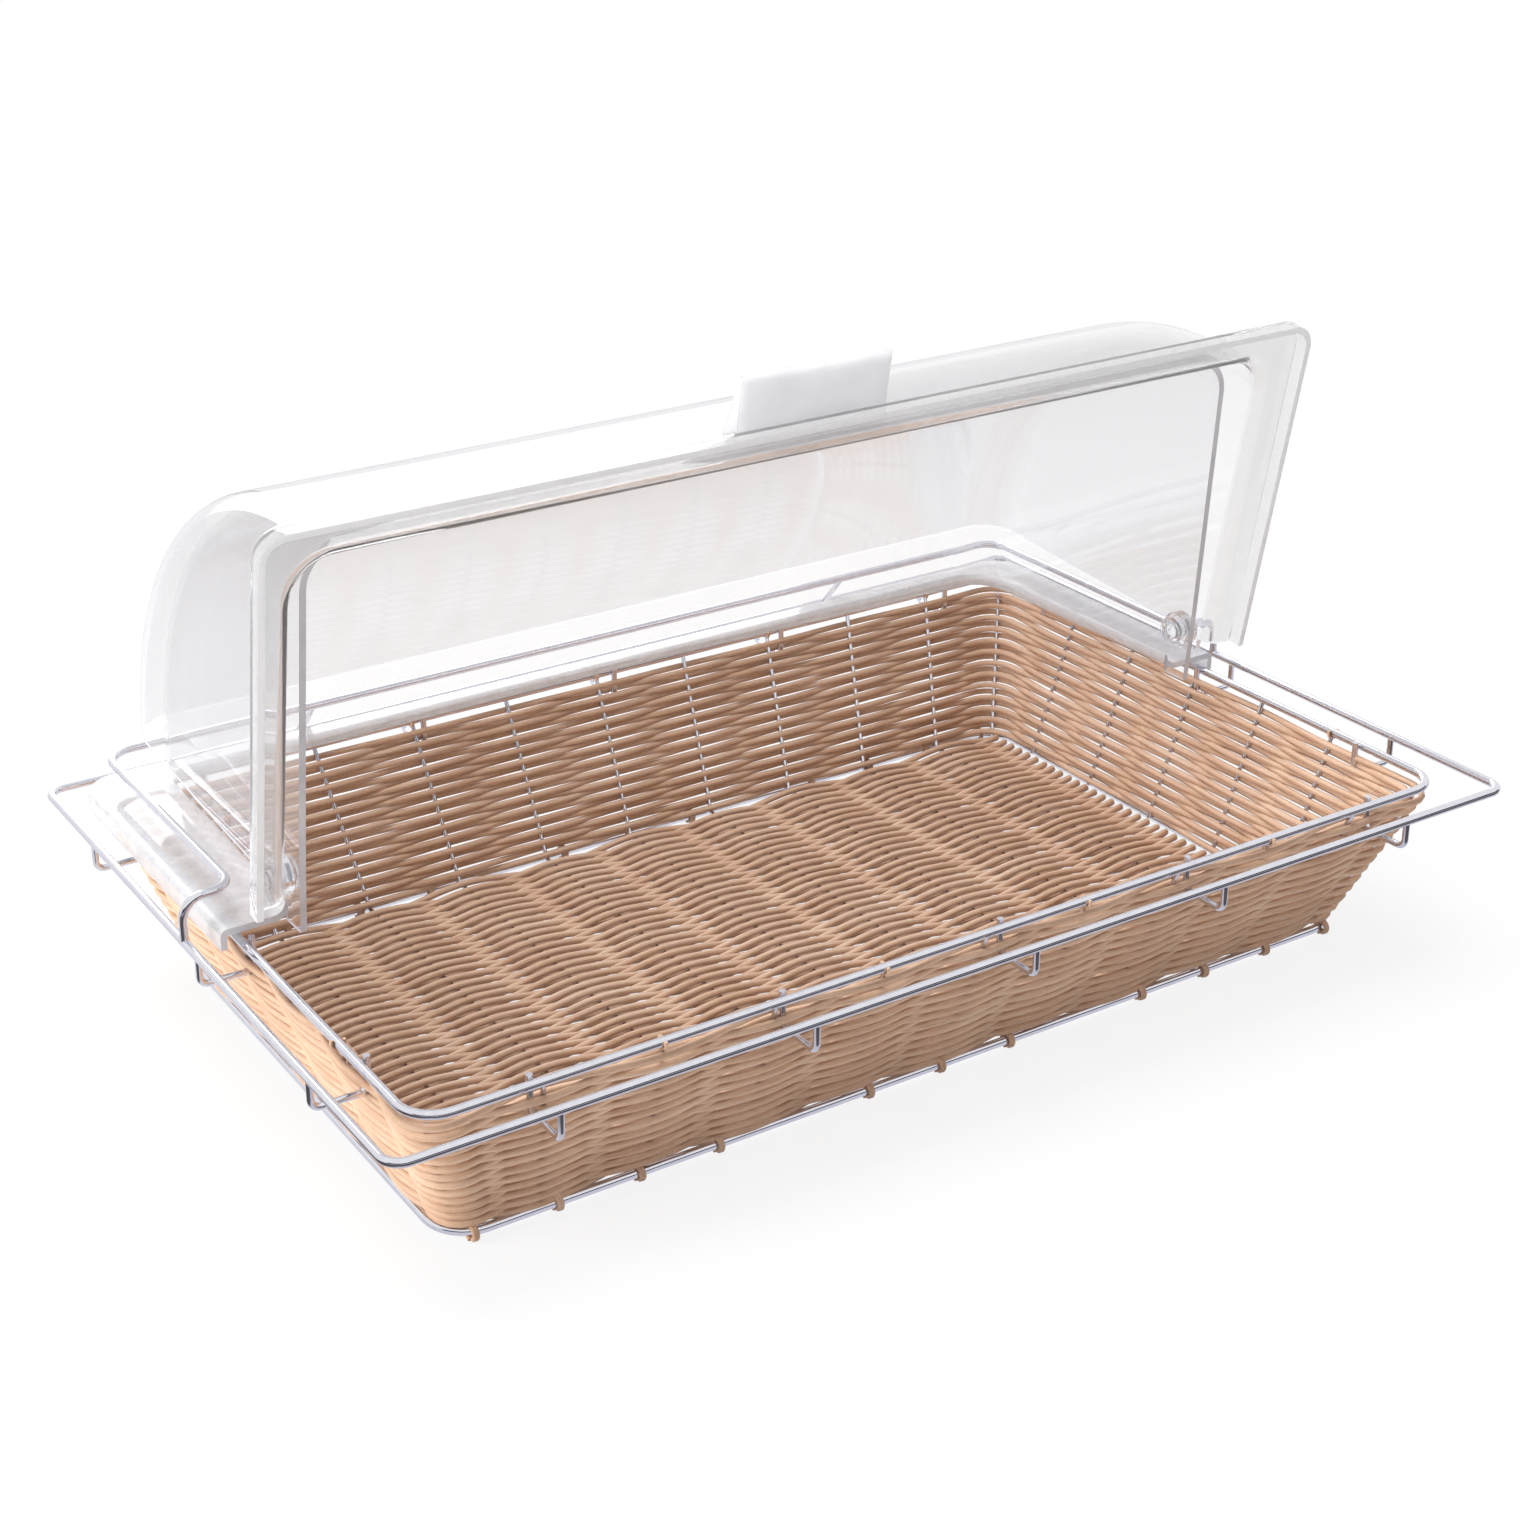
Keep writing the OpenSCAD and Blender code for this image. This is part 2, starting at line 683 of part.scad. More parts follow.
module front_lid() {
    color(clear_sheet) opened() closed_lid();
}

// A sheet folded into two leaves, their ends bonded to the lid's curved face
module handle_section() {
    fold = [-lid_radius - handle_reach + handle_sheet, handle_lift + handle_sheet];
    rise = atan2(handle_spread - 2 * handle_sheet, handle_reach - handle_sheet);
    leaf = handle_reach + 2 * handle_sheet;
    difference() {
        union() {
            translate(fold) circle(r = handle_sheet);
            translate([fold.x, handle_lift]) square([leaf, handle_sheet]);
            translate(fold) rotate(rise) square([leaf, handle_sheet]);
        }
        circle(r = lid_radius + bond, $fn = 4 * $fn);
    }
}

module lid_handle() {
    color(satin_grey) opened() translate([-handle_length / 2, hinge_y, hinge_z])
        rotate([90, 0, 90]) linear_extrude(handle_length) handle_section();
}

basket_rim();
bottom_ring();
long_stakes();
left_end_stakes();
right_end_stakes();
corner_stakes();
wall_weave();
floor_weave();
rim_lashings();
bottom_lashings();
outer_ring();
upper_rail();
rail_struts();
front_hooks();
back_hooks();
left_hooks();
right_hooks();
rear_shell();
left_hinge_pin();
right_hinge_pin();
left_hinge_spacer();
right_hinge_spacer();
front_lid();
lid_handle();
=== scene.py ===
import json
from math import asin, atan2, cos, floor, hypot, pi, radians, sin, sqrt, tan

import bmesh
import bpy
from mathutils import Matrix, Vector, noise


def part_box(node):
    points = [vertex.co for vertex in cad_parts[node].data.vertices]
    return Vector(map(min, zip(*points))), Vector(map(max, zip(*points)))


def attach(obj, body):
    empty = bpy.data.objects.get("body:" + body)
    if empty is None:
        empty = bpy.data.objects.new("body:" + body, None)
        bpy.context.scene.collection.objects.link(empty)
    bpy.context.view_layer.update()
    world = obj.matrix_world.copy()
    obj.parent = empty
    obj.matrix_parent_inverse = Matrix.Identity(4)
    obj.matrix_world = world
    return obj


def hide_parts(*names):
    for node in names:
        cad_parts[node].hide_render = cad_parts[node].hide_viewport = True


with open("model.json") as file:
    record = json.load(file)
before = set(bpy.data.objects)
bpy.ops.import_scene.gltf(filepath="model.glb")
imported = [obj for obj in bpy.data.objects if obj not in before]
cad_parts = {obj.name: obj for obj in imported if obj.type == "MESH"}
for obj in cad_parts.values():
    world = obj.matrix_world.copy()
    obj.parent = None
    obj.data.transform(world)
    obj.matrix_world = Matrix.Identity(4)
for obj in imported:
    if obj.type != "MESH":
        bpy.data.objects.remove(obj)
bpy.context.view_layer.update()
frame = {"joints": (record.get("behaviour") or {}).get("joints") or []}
mm = 0.001
stand, lid = "basket_and_stand", "lid"
quarters = ((-1, -1), (1, -1), (1, 1), (-1, 1))


# Node and mesh helpers

def addNode(tree, kind, inputs=None, **settings):
    # An input takes a socket, a node, which stands for its first output, or a plain value
    node = tree.nodes.new(kind)
    for name, value in settings.items():
        setattr(node, name, value)
    for key, value in (inputs or {}).items():
        if isinstance(value, bpy.types.Node):
            value = value.outputs[0]
        if isinstance(value, bpy.types.NodeSocket):
            tree.links.new(value, node.inputs[key])
        else:
            node.inputs[key].default_value = value
    return node


def hexColour(text):  # sRGB hex to the linear values that a socket takes
    parts = [int(text[i:i + 2], 16) / 255 for i in (0, 2, 4)]
    return [c / 12.92 if c <= 0.04045 else ((c + 0.055) / 1.055) ** 2.4 for c in parts] + [1.0]


def perSize(size):  # a pattern's scale, from the real size of its features in mm
    return 1 / (size * mm)


def nodeBox(name):
    low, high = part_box(name)
    return Vector(low), Vector(high)


def linkObject(name, mesh):
    obj = bpy.data.objects.new(name, mesh)
    bpy.context.scene.collection.objects.link(obj)
    return obj


def cleanMesh(bm, merge):
    bmesh.ops.remove_doubles(bm, verts=bm.verts, dist=merge)
    bmesh.ops.dissolve_degenerate(bm, edges=bm.edges, dist=merge / 2)
    bmesh.ops.recalc_face_normals(bm, faces=bm.faces)


def meshObject(name, bm, *materials):
    mesh = bpy.data.meshes.new(name)
    bm.to_mesh(mesh)
    bm.free()
    mesh.shade_smooth()
    for material in materials:
        mesh.materials.append(material)
    return linkObject(name, mesh)


def addBevel(obj, width, angle):
    bevel = obj.modifiers.new("edges", "BEVEL")
    bevel.width = width
    bevel.segments = 2
    bevel.limit_method = "ANGLE"
    bevel.angle_limit = radians(angle)
    bevel.harden_normals = True


def flattenModifiers(obj):
    # Gives the modifiers' result back as a plain mesh under the same name
    graph = bpy.context.evaluated_depsgraph_get()
    mesh = bpy.data.meshes.new_from_object(
        obj.evaluated_get(graph), preserve_all_data_layers=True, depsgraph=graph)
    name = obj.name
    bpy.data.objects.remove(obj)
    return linkObject(name, mesh)


def finishPiece(piece, body, node):
    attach(piece, body)
    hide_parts(node)


def spaced(low, high, count):  # from low to high in so many equal steps
    return [low + (high - low) * k / count for k in range(count + 1)]


def spread(count, pitch):  # places a pitch apart, with their middle at 0
    return [(i - (count - 1) / 2) * pitch for i in range(count)]


# Paths: each is a list of points in metres, and whether it is closed

def roundedPath(corners, radii, closed=False, steps=8):
    # Straight runs joined by arcs; radii has one radius for each corner that bends
    points = []
    count = len(corners)
    for i, corner in enumerate(corners):
        if not closed and i in (0, count - 1):
            points.append(corner.copy())
            continue
        before = (corners[i - 1] - corner).normalized()
        after = (corners[(i + 1) % count] - corner).normalized()
        radius = radii[i] if closed else radii[i - 1]
        half = before.angle(after) / 2
        middle = (before + after).normalized()
        centre = corner + middle * (radius / sin(half))
        start = corner + before * (radius / tan(half)) - centre
        end = corner + after * (radius / tan(half)) - centre
        turn = start.angle(end)
        axis = start.cross(end).normalized()
        for k in range(steps + 1):
            points.append(centre + Matrix.Rotation(turn * k / steps, 3, axis) @ start)
    return points, closed


def loopPath(halfX, halfY, corner, z):
    corners = [Vector((x * halfX, y * halfY, z)) for x, y in quarters]
    return roundedPath(corners, [corner] * 4, True)


def pathObject(name, paths, tones):
    # Every point of a path carries its tone, which sets the strand's colour and its wander
    mesh = bpy.data.meshes.new(name)
    verts, edges, pointTones = [], [], []
    for (points, closed), tone in zip(paths, tones):
        start = len(verts)
        verts.extend(points)
        pointTones.extend([tone] * len(points))
        edges.extend((start + i, start + i + 1) for i in range(len(points) - 1))
        if closed:
            edges.append((start + len(points) - 1, start))
    mesh.from_pydata(verts, edges, [])
    mesh.attributes.new("tone", "FLOAT", "POINT").data.foreach_set("value", pointTones)
    return linkObject(name, mesh)


# Geometry Nodes: one tree sweeps a section along paths, for wires and for strands

def makeSweepTree():
    tree = bpy.data.node_groups.new("sweep along paths", "GeometryNodeTree")
    sockets = (
        ("Geometry", "Geometry"), ("Radius", "Float"), ("Sides", "Int"), ("Flatness", "Float"),
        ("Wander", "Float"), ("Wander Scale", "Float"), ("Seed", "Float"),
        ("Material", "Material"))
    for name, kind in sockets:
        tree.interface.new_socket(name, in_out="INPUT", socket_type="NodeSocket" + kind)
    tree.interface.new_socket("Geometry", in_out="OUTPUT", socket_type="NodeSocketGeometry")
    given = addNode(tree, "NodeGroupInput").outputs
    curve = addNode(tree, "GeometryNodeMeshToCurve", {"Mesh": given["Geometry"]})
    place = addNode(tree, "GeometryNodeInputPosition")
    tone = addNode(tree, "GeometryNodeInputNamedAttribute", {"Name": "tone"}, data_type="FLOAT")
    seeded = addNode(tree, "ShaderNodeMath", {0: tone, 1: 40.0, 2: given["Seed"]},
                     operation="MULTIPLY_ADD")
    stray = addNode(tree, "ShaderNodeTexNoise", {
        "Vector": place, "W": seeded, "Scale": given["Wander Scale"], "Detail": 1.0},
        noise_dimensions="4D")
    centred = addNode(tree, "ShaderNodeVectorMath", {
        0: stray.outputs["Color"], 1: (0.5, 0.5, 0.5)}, operation="SUBTRACT")
    offset = addNode(tree, "ShaderNodeVectorMath", {0: centred, "Scale": given["Wander"]},
                     operation="SCALE")
    wandered = addNode(tree, "GeometryNodeSetPosition", {"Geometry": curve, "Offset": offset})
    length = addNode(tree, "GeometryNodeSplineParameter")
    along = addNode(tree, "GeometryNodeStoreNamedAttribute", {
        "Geometry": wandered, "Name": "along", "Value": length.outputs["Length"]},
        data_type="FLOAT", domain="POINT")
    circle = addNode(tree, "GeometryNodeCurvePrimitiveCircle", {
        "Resolution": given["Sides"], "Radius": given["Radius"]})
    squash = addNode(tree, "ShaderNodeCombineXYZ", {0: 1.0, 1: given["Flatness"], 2: 1.0})
    section = addNode(tree, "GeometryNodeTransform", {"Geometry": circle, "Scale": squash})
    direction = addNode(tree, "ShaderNodeVectorMath", {0: place}, operation="NORMALIZE")
    around = addNode(tree, "GeometryNodeStoreNamedAttribute", {
        "Geometry": section, "Name": "around", "Value": direction},
        data_type="FLOAT_VECTOR", domain="POINT")
    swept = addNode(tree, "GeometryNodeCurveToMesh", {
        "Curve": along, "Profile Curve": around, "Fill Caps": True})
    smooth = addNode(tree, "GeometryNodeSetShadeSmooth", {"Geometry": swept})
    real = addNode(tree, "GeometryNodeRealizeInstances", {"Geometry": smooth})
    finished = addNode(tree, "GeometryNodeSetMaterial", {
        "Geometry": real, "Material": given["Material"]})
    addNode(tree, "NodeGroupOutput", {0: finished})
    return tree


sweepTree = makeSweepTree()


def sweep(name, paths, material, radius, sides, tones=None, flatness=1.0, wander=0.0,
          wanderLength=50 * mm, seed=0.0):
    # Runs the tree on the paths and gives its result back as a plain mesh
    obj = pathObject(name, paths, tones or [0.0] * len(paths))
    values = {"Radius": radius, "Sides": sides, "Flatness": flatness, "Wander": wander,
              "Wander Scale": 1 / wanderLength, "Seed": seed, "Material": material}
    modifier = obj.modifiers.new(sweepTree.name, "NODES")
    modifier.node_group = sweepTree
    for item in sweepTree.interface.items_tree:
        if item.item_type == "SOCKET" and item.in_out == "INPUT" and item.name in values:
            modifier[item.identifier] = values[item.name]
    return flattenModifiers(obj)


# Materials

def newMaterial(name):
    # A material with an empty tree, its tree, and the object's own coordinates for its patterns
    material = bpy.data.materials.new(name)
    material.use_nodes = True
    tree = material.node_tree
    tree.nodes.clear()
    return material, tree, addNode(tree, "ShaderNodeTexCoord").outputs["Object"]


def makeChrome():
    # Chrome on drawn steel wire: bright and smooth, with a faint lilac cast and soft haze where
    # the wire was drawn and dipped
    chrome = {"colour": "E9E9EF", "haze": "D6D6DF", "roughness": 0.07, "patch": 6.0,
              "grain": 0.5, "grainDepth": 0.03}
    material, tree, where = newMaterial("chromed_steel_wire")
    patches = addNode(tree, "ShaderNodeTexNoise", {
        "Vector": where, "Scale": perSize(chrome["patch"]), "Detail": 3.0, "Roughness": 0.6})
    grain = addNode(tree, "ShaderNodeTexNoise", {
        "Vector": where, "Scale": perSize(chrome["grain"]), "Detail": 2.0})
    colour = addNode(tree, "ShaderNodeMix", {
        0: patches, 6: hexColour(chrome["colour"]), 7: hexColour(chrome["haze"])},
        data_type="RGBA")
    rough = addNode(tree, "ShaderNodeMapRange", {
        "Value": patches, "From Min": 0.3, "From Max": 0.75,
        "To Min": chrome["roughness"] * 0.7, "To Max": chrome["roughness"] * 1.8})
    bump = addNode(tree, "ShaderNodeBump", {
        "Height": grain, "Strength": 0.08, "Distance": chrome["grainDepth"] * mm})
    shader = addNode(tree, "ShaderNodeBsdfPrincipled", {
        "Base Color": colour.outputs[2], "Metallic": 1.0, "Roughness": rough, "Normal": bump})
    addNode(tree, "ShaderNodeOutputMaterial", {0: shader})
    return material


def makeStrand():
    # Extruded polypropylene strand: matt, with fine lengthwise ribs from the die, and its colour
    # shifts a little from strand to strand and along each one. The rib is a share of the
    # strand's radius
    strand = {"light": "E3C8B0", "middle": "CDA98D", "dark": "AC8369", "roughness": 0.55,
              "rib": 0.42, "ribDepth": 0.25, "streakLength": 26.0, "patch": 38.0, "fleck": 2.2,
              "toneShare": 0.45, "patchShare": 0.35, "fleckShare": 0.2, "darkAt": 0.62,
              "lightAt": 1.35, "toneStep": 61.0}
    material, tree, where = newMaterial("woven_polypropylene")
    along = addNode(tree, "ShaderNodeAttribute", attribute_name="along").outputs["Fac"]
    around = addNode(tree, "ShaderNodeAttribute", attribute_name="around").outputs["Vector"]
    tone = addNode(tree, "ShaderNodeAttribute", attribute_name="tone").outputs["Fac"]
    lengthwise = addNode(tree, "ShaderNodeMath", {0: along, 1: perSize(strand["streakLength"])},
                         operation="MULTIPLY")
    lane = addNode(tree, "ShaderNodeVectorMath", {0: around, "Scale": 1 / strand["rib"]},
                   operation="SCALE")
    shift = addNode(tree, "ShaderNodeCombineXYZ", {0: 0.0, 1: 0.0, 2: lengthwise})
    streakAt = addNode(tree, "ShaderNodeVectorMath", {0: lane, 1: shift}, operation="ADD")
    apart = addNode(tree, "ShaderNodeMath", {0: tone, 1: strand["toneStep"]},
                    operation="MULTIPLY")
    streaks = addNode(tree, "ShaderNodeTexNoise", {
        "Vector": streakAt, "W": apart, "Scale": 1.0, "Detail": 4.0, "Roughness": 0.65},
        noise_dimensions="4D")
    patches = addNode(tree, "ShaderNodeTexNoise", {
        "Vector": where, "Scale": perSize(strand["patch"]), "Detail": 2.0})
    flecks = addNode(tree, "ShaderNodeTexNoise", {
        "Vector": where, "Scale": perSize(strand["fleck"]), "Detail": 3.0})
    mixed = streaks
    for layer, share in ((tone, "toneShare"), (patches, "patchShare"), (flecks, "fleckShare")):
        mixed = addNode(tree, "ShaderNodeMath", {0: layer, 1: strand[share], 2: mixed},
                        operation="MULTIPLY_ADD")
    shade = addNode(tree, "ShaderNodeMapRange", {
        "Value": mixed, "From Min": strand["darkAt"], "From Max": strand["lightAt"]})
    ramp = addNode(tree, "ShaderNodeValToRGB", {0: shade})
    ramp.color_ramp.elements[0].color = hexColour(strand["dark"])
    ramp.color_ramp.elements[1].color = hexColour(strand["light"])
    ramp.color_ramp.elements.new(0.5).color = hexColour(strand["middle"])
    ribs = addNode(tree, "ShaderNodeBump", {
        "Height": streaks, "Strength": 0.5, "Distance": strand["ribDepth"] * mm})
    shader = addNode(tree, "ShaderNodeBsdfPrincipled", {
        "Base Color": ramp, "Roughness": strand["roughness"], "Specular IOR Level": 0.4,
        "Normal": ribs})
    addNode(tree, "ShaderNodeOutputMaterial", {0: shader})
    return material


def makeClear(name, tint, roughness, haze=0.0, paintedSheenColour="FAFAFC"):
    # Cast acrylic sheet, formed hot: clear, glossy, with very slight waves left by the mould. Haze
    # is the share of a matt colour mixed in, a painted sheen that makes the flanges milky
    clear = {"ior": 1.49, "wave": 45.0, "waveDepth": 0.05, "smear": 9.0, "shadow": "F4F5F7"}
    material, tree, where = newMaterial(name)
    waves = addNode(tree, "ShaderNodeTexNoise", {
        "Vector": where, "Scale": perSize(clear["wave"]), "Detail": 1.0})
    smears = addNode(tree, "ShaderNodeTexNoise", {
        "Vector": where, "Scale": perSize(clear["smear"]), "Detail": 4.0, "Roughness": 0.7})
    rough = addNode(tree, "ShaderNodeMapRange", {
        "Value": smears, "From Min": 0.45, "From Max": 0.8,
        "To Min": roughness, "To Max": roughness * 2.5})
    bump = addNode(tree, "ShaderNodeBump", {
        "Height": waves, "Strength": 0.25, "Distance": clear["waveDepth"] * mm})
    sheet = addNode(tree, "ShaderNodeBsdfPrincipled", {
        "Base Color": hexColour(tint), "Roughness": rough, "IOR": clear["ior"],
        "Transmission Weight": 1.0, "Normal": bump})
    # The matt share is painted sheen
    paintedSheenMatt = addNode(tree, "ShaderNodeBsdfDiffuse", {0: hexColour(paintedSheenColour), "Normal": bump})
    cloud = addNode(tree, "ShaderNodeMapRange", {
        "Value": smears, "From Min": 0.3, "From Max": 0.7,
        "To Min": haze * 0.85, "To Max": haze * 1.15})
    withPaintedSheen = addNode(tree, "ShaderNodeMixShader", {0: cloud, 1: sheet, 2: paintedSheenMatt})
    shadow = addNode(tree, "ShaderNodeBsdfTransparent", {0: hexColour(clear["shadow"])})
    path = addNode(tree, "ShaderNodeLightPath")
    shader = addNode(tree, "ShaderNodeMixShader", {
        0: path.outputs["Is Shadow Ray"], 1: withPaintedSheen, 2: shadow})
    addNode(tree, "ShaderNodeOutputMaterial", {0: shader})
    return material


def makeSheetEdge(name, colour, shade):
    # A sheet's cut edge gathers the light that runs along inside the sheet, and its colour paints
    # that light: pale grey on the rear shell's edge, nearly white on the lid's
    edge = {"roughness": 0.28, "patch": 11.0, "sawMark": 0.8, "markDepth": 0.05,
            "clearness": 0.15}
    material, tree, where = newMaterial(name)
    patches = addNode(tree, "ShaderNodeTexNoise", {
        "Vector": where, "Scale": perSize(edge["patch"]), "Detail": 3.0})
    marks = addNode(tree, "ShaderNodeTexNoise", {
        "Vector": where, "Scale": perSize(edge["sawMark"]), "Detail": 2.0})
    tone = addNode(tree, "ShaderNodeMix", {
        0: patches, 6: hexColour(colour), 7: hexColour(shade)}, data_type="RGBA").outputs[2]
    bump = addNode(tree, "ShaderNodeBump", {
        "Height": marks, "Strength": 0.1, "Distance": edge["markDepth"] * mm})
    face = addNode(tree, "ShaderNodeBsdfPrincipled", {
        "Base Color": tone, "Roughness": edge["roughness"], "IOR": 1.49, "Normal": bump})
    through = addNode(tree, "ShaderNodeBsdfTransparent", {0: tone})
    shader = addNode(tree, "ShaderNodeMixShader", {0: edge["clearness"], 1: face, 2: through})
    addNode(tree, "ShaderNodeOutputMaterial", {0: shader})
    return material


def makeSatin():
    # Folded styrene sheet with a satin face: milky, of slightly uneven sheen, and lit through
    satin = {"colour": "F6F6F6", "shade": "ECECEE", "roughness": 0.38, "grain": 0.6,
             "grainDepth": 0.04, "cloud": 14.0, "clearness": 0.8}
    material, tree, where = newMaterial("satin_grey_styrene")
    grain = addNode(tree, "ShaderNodeTexNoise", {
        "Vector": where, "Scale": perSize(satin["grain"]), "Detail": 3.0})
    cloud = addNode(tree, "ShaderNodeTexNoise", {
        "Vector": where, "Scale": perSize(satin["cloud"]), "Detail": 2.0})
    tone = addNode(tree, "ShaderNodeMix", {
        0: cloud, 6: hexColour(satin["colour"]), 7: hexColour(satin["shade"])},
        data_type="RGBA").outputs[2]
    rough = addNode(tree, "ShaderNodeMapRange", {
        "Value": cloud, "To Min": satin["roughness"] * 0.8, "To Max": satin["roughness"] * 1.25})
    bump = addNode(tree, "ShaderNodeBump", {
        "Height": grain, "Strength": 0.12, "Distance": satin["grainDepth"] * mm})
    face = addNode(tree, "ShaderNodeBsdfPrincipled", {
        "Base Color": tone, "Roughness": rough, "Normal": bump})
    glowing = addNode(tree, "ShaderNodeBsdfTranslucent", {0: tone})
    shader = addNode(tree, "ShaderNodeMixShader", {0: satin["clearness"], 1: face, 2: glowing})
    addNode(tree, "ShaderNodeOutputMaterial", {0: shader})
    return material


chrome = makeChrome()
strandMaterial = makeStrand()
clearAcrylic = makeClear("clear_formed_acrylic", "F4F4F5", 0.015)
# The two flange materials mix in a matt grey: painted sheen
sheenPaintedBase = makeClear("acrylic_base_flange_painted_sheen", "ECECEC", 0.03, 0.36, "D5D5D6")
sheenPaintedLip = makeClear("acrylic_lid_flange_painted_sheen", "EAEAEA", 0.02, 0.12, "DADADA")
clearFitting = makeClear("clear_moulded_styrene", "F3F4F6", 0.05)
# Painted light of the sheets' cut edges: grey on the rear shell, nearly white on the lid
greyEdgeGlow = makeSheetEdge("acrylic_edge_painted_grey_glow", "E8E7EA", "CBC9CE")
whiteEdgeGlow = makeSheetEdge("acrylic_edge_painted_white_glow", "FAFAFB", "F0F0F3")
satinStyrene = makeSatin()
print("materials made")


# Sizes read from the frame

def wireLoop(name):
    # A wire rectangle's thickness, then its half width, half depth and height along its middle
    low, high = nodeBox(name)
    wire = high.z - low.z
    return wire, (high.x - low.x - wire) / 2, (high.y - low.y - wire) / 2, (high.z + low.z) / 2


rimWire, rimX, rimY, rimZ = wireLoop("basket_rim")
footWire, footX, footY, footZ = wireLoop("bottom_ring")
ringWire, ringX, ringY, ringZ = wireLoop("outer_ring")
hingeAt = Vector(frame["joints"][0]["pos_m"])

basket = {
    "rimCorner": 15 * mm, "footCorner": 18 * mm, "stakeWire": 2.3 * mm, "stakeBend": 3 * mm,
    "longStakes": 9, "rimPitch": 52.5 * mm, "floorPitch": 49 * mm,
    "endStakes": 5, "endPitch": 47 * mm,
    "cornerDrop": 7 * mm, "cornerTail": 7 * mm, "cornerBend": 2.5 * mm,
    "loopSides": 20, "stakeSides": 12,
}
stakeWire = basket["stakeWire"]
stakeTuck = (footWire + stakeWire) / 2
stakeZ = (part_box("floor_weave")[0][2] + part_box("floor_weave")[1][2]) / 2
leanX = (rimX - footX + stakeTuck) / (rimZ - stakeZ)
leanY = (rimY - footY + stakeTuck) / (rimZ - stakeZ)
stakeCorner = basket["footCorner"] - stakeTuck


def stakeHalfX(z):  # half width of the stakes' plane at a height
    return rimX - leanX * (rimZ - z)


def stakeHalfY(z):
    return rimY - leanY * (rimZ - z)


# Basket wires

def wirePiece(name, paths, wire, sides, node):
    finishPiece(sweep(name, paths, chrome, wire / 2, sides), stand, node)


def makeBasketWires():
    loopSides, stakeSides = basket["loopSides"], basket["stakeSides"]
    rim = loopPath(rimX, rimY, basket["rimCorner"], rimZ)
    wirePiece("basket_rim_wire", [rim], rimWire, loopSides, "basket_rim")
    foot = loopPath(footX, footY, basket["footCorner"], footZ)
    wirePiece("bottom_ring_wire", [foot], footWire, loopSides, "bottom_ring")

    paths = []
    y = footY - stakeTuck
    for k in spread(basket["longStakes"], 1):
        top, low = k * basket["rimPitch"], k * basket["floorPitch"]
        paths.append(roundedPath([
            Vector((top, -rimY, rimZ)), Vector((low, -y, stakeZ)),
            Vector((low, y, stakeZ)), Vector((top, rimY, rimZ))],
            [basket["stakeBend"]] * 2, steps=5))
    wirePiece("long_stake_wires", paths, stakeWire, stakeSides, "long_stakes")

    for side, name in ((-1, "left"), (1, "right")):
        foot, top = side * (footX - stakeTuck), side * rimX
        paths = [([Vector((foot, y, stakeZ)), Vector((top, y, rimZ))], False)
                 for y in spread(basket["endStakes"], basket["endPitch"])]
        wirePiece(f"{name}_end_stake_wires", paths, stakeWire, stakeSides, f"{name}_end_stakes")

    # A corner stake stands in the middle of its corner, with its cut end turned in
    inset = stakeCorner * (1 - sqrt(0.5))
    turnZ = rimZ - basket["cornerDrop"]
    tail = basket["cornerTail"] * sqrt(0.5)
    paths = []
    for sx, sy in quarters:
        foot, top = (Vector((sx * (stakeHalfX(z) - inset), sy * (stakeHalfY(z) - inset), z))
                     for z in (stakeZ, turnZ))
        end = top - Vector((sx * tail, sy * tail, 0))
        paths.append(roundedPath([foot, top, end], [basket["cornerBend"]], steps=5))
    wirePiece("corner_stake_wires", paths, stakeWire, stakeSides, "corner_stakes")


# Woven walls: closed rows that pass outside one stake and inside the next

weave = {
    "strand": 3.2 * mm, "press": 0.3 * mm, "spacing": 4.2 * mm, "sides": 8,
    "rows": 26, "lowest": 6.8 * mm, "topRow": 76.3 * mm,
    "stray": 0.8 * mm, "strayLength": 70 * mm, "wander": 0.54 * mm, "wanderLength": 60 * mm,
    "floorPitch": 3.32 * mm, "floorReach": 2.2 * mm, "floorStray": 1.1 * mm,
    "floorStrayLength": 60 * mm, "floorWander": 0.25 * mm, "wallSeed": 2.0, "floorSeed": 8.0,
}


def strandPiece(name, paths, tones, thick, node, sides, **options):
    piece = sweep(name, paths, strandMaterial, thick / 2, sides, tones, **options)
    finishPiece(piece, stand, node)


def strandTone(*place):
    # 0 to 1, from a noise with no seed, so each run gives the same. The places that ask for a
    # tone or a stray only have to lie apart
    return 0.5 + 0.5 * noise.noise(Vector(place))


def rowRuns(z):  # a row's straight lengths along X and Y, and the length of a corner's arc
    straightX, straightY = (2 * (half(z) - stakeCorner) for half in (stakeHalfX, stakeHalfY))
    return straightX, straightY, pi / 2 * stakeCorner


def stakeDistances(z):
    # Distances along a row at which it passes a stake, from the middle of the front, to the right
    share = (rimZ - z) / (rimZ - stakeZ)
    longPitch = basket["rimPitch"] + (basket["floorPitch"] - basket["rimPitch"]) * share
    straightX, straightY, arc = rowRuns(z)
    long = [k * longPitch for k in spread(basket["longStakes"], 1)]
    short = spread(basket["endStakes"], basket["endPitch"])
    half = straightX + straightY + 2 * arc
    total = 2 * half
    rightMiddle = straightX / 2 + arc + straightY / 2
    runs = [(0, long), (rightMiddle, short), (half, long), (half + rightMiddle, short)]
    places = [centre + s for centre, stakes in runs for s in stakes]
    for corner in (straightX / 2 + arc / 2, straightX / 2 + arc + straightY + arc / 2):
        places += [corner, corner + half]
    return sorted(place % total for place in places), total


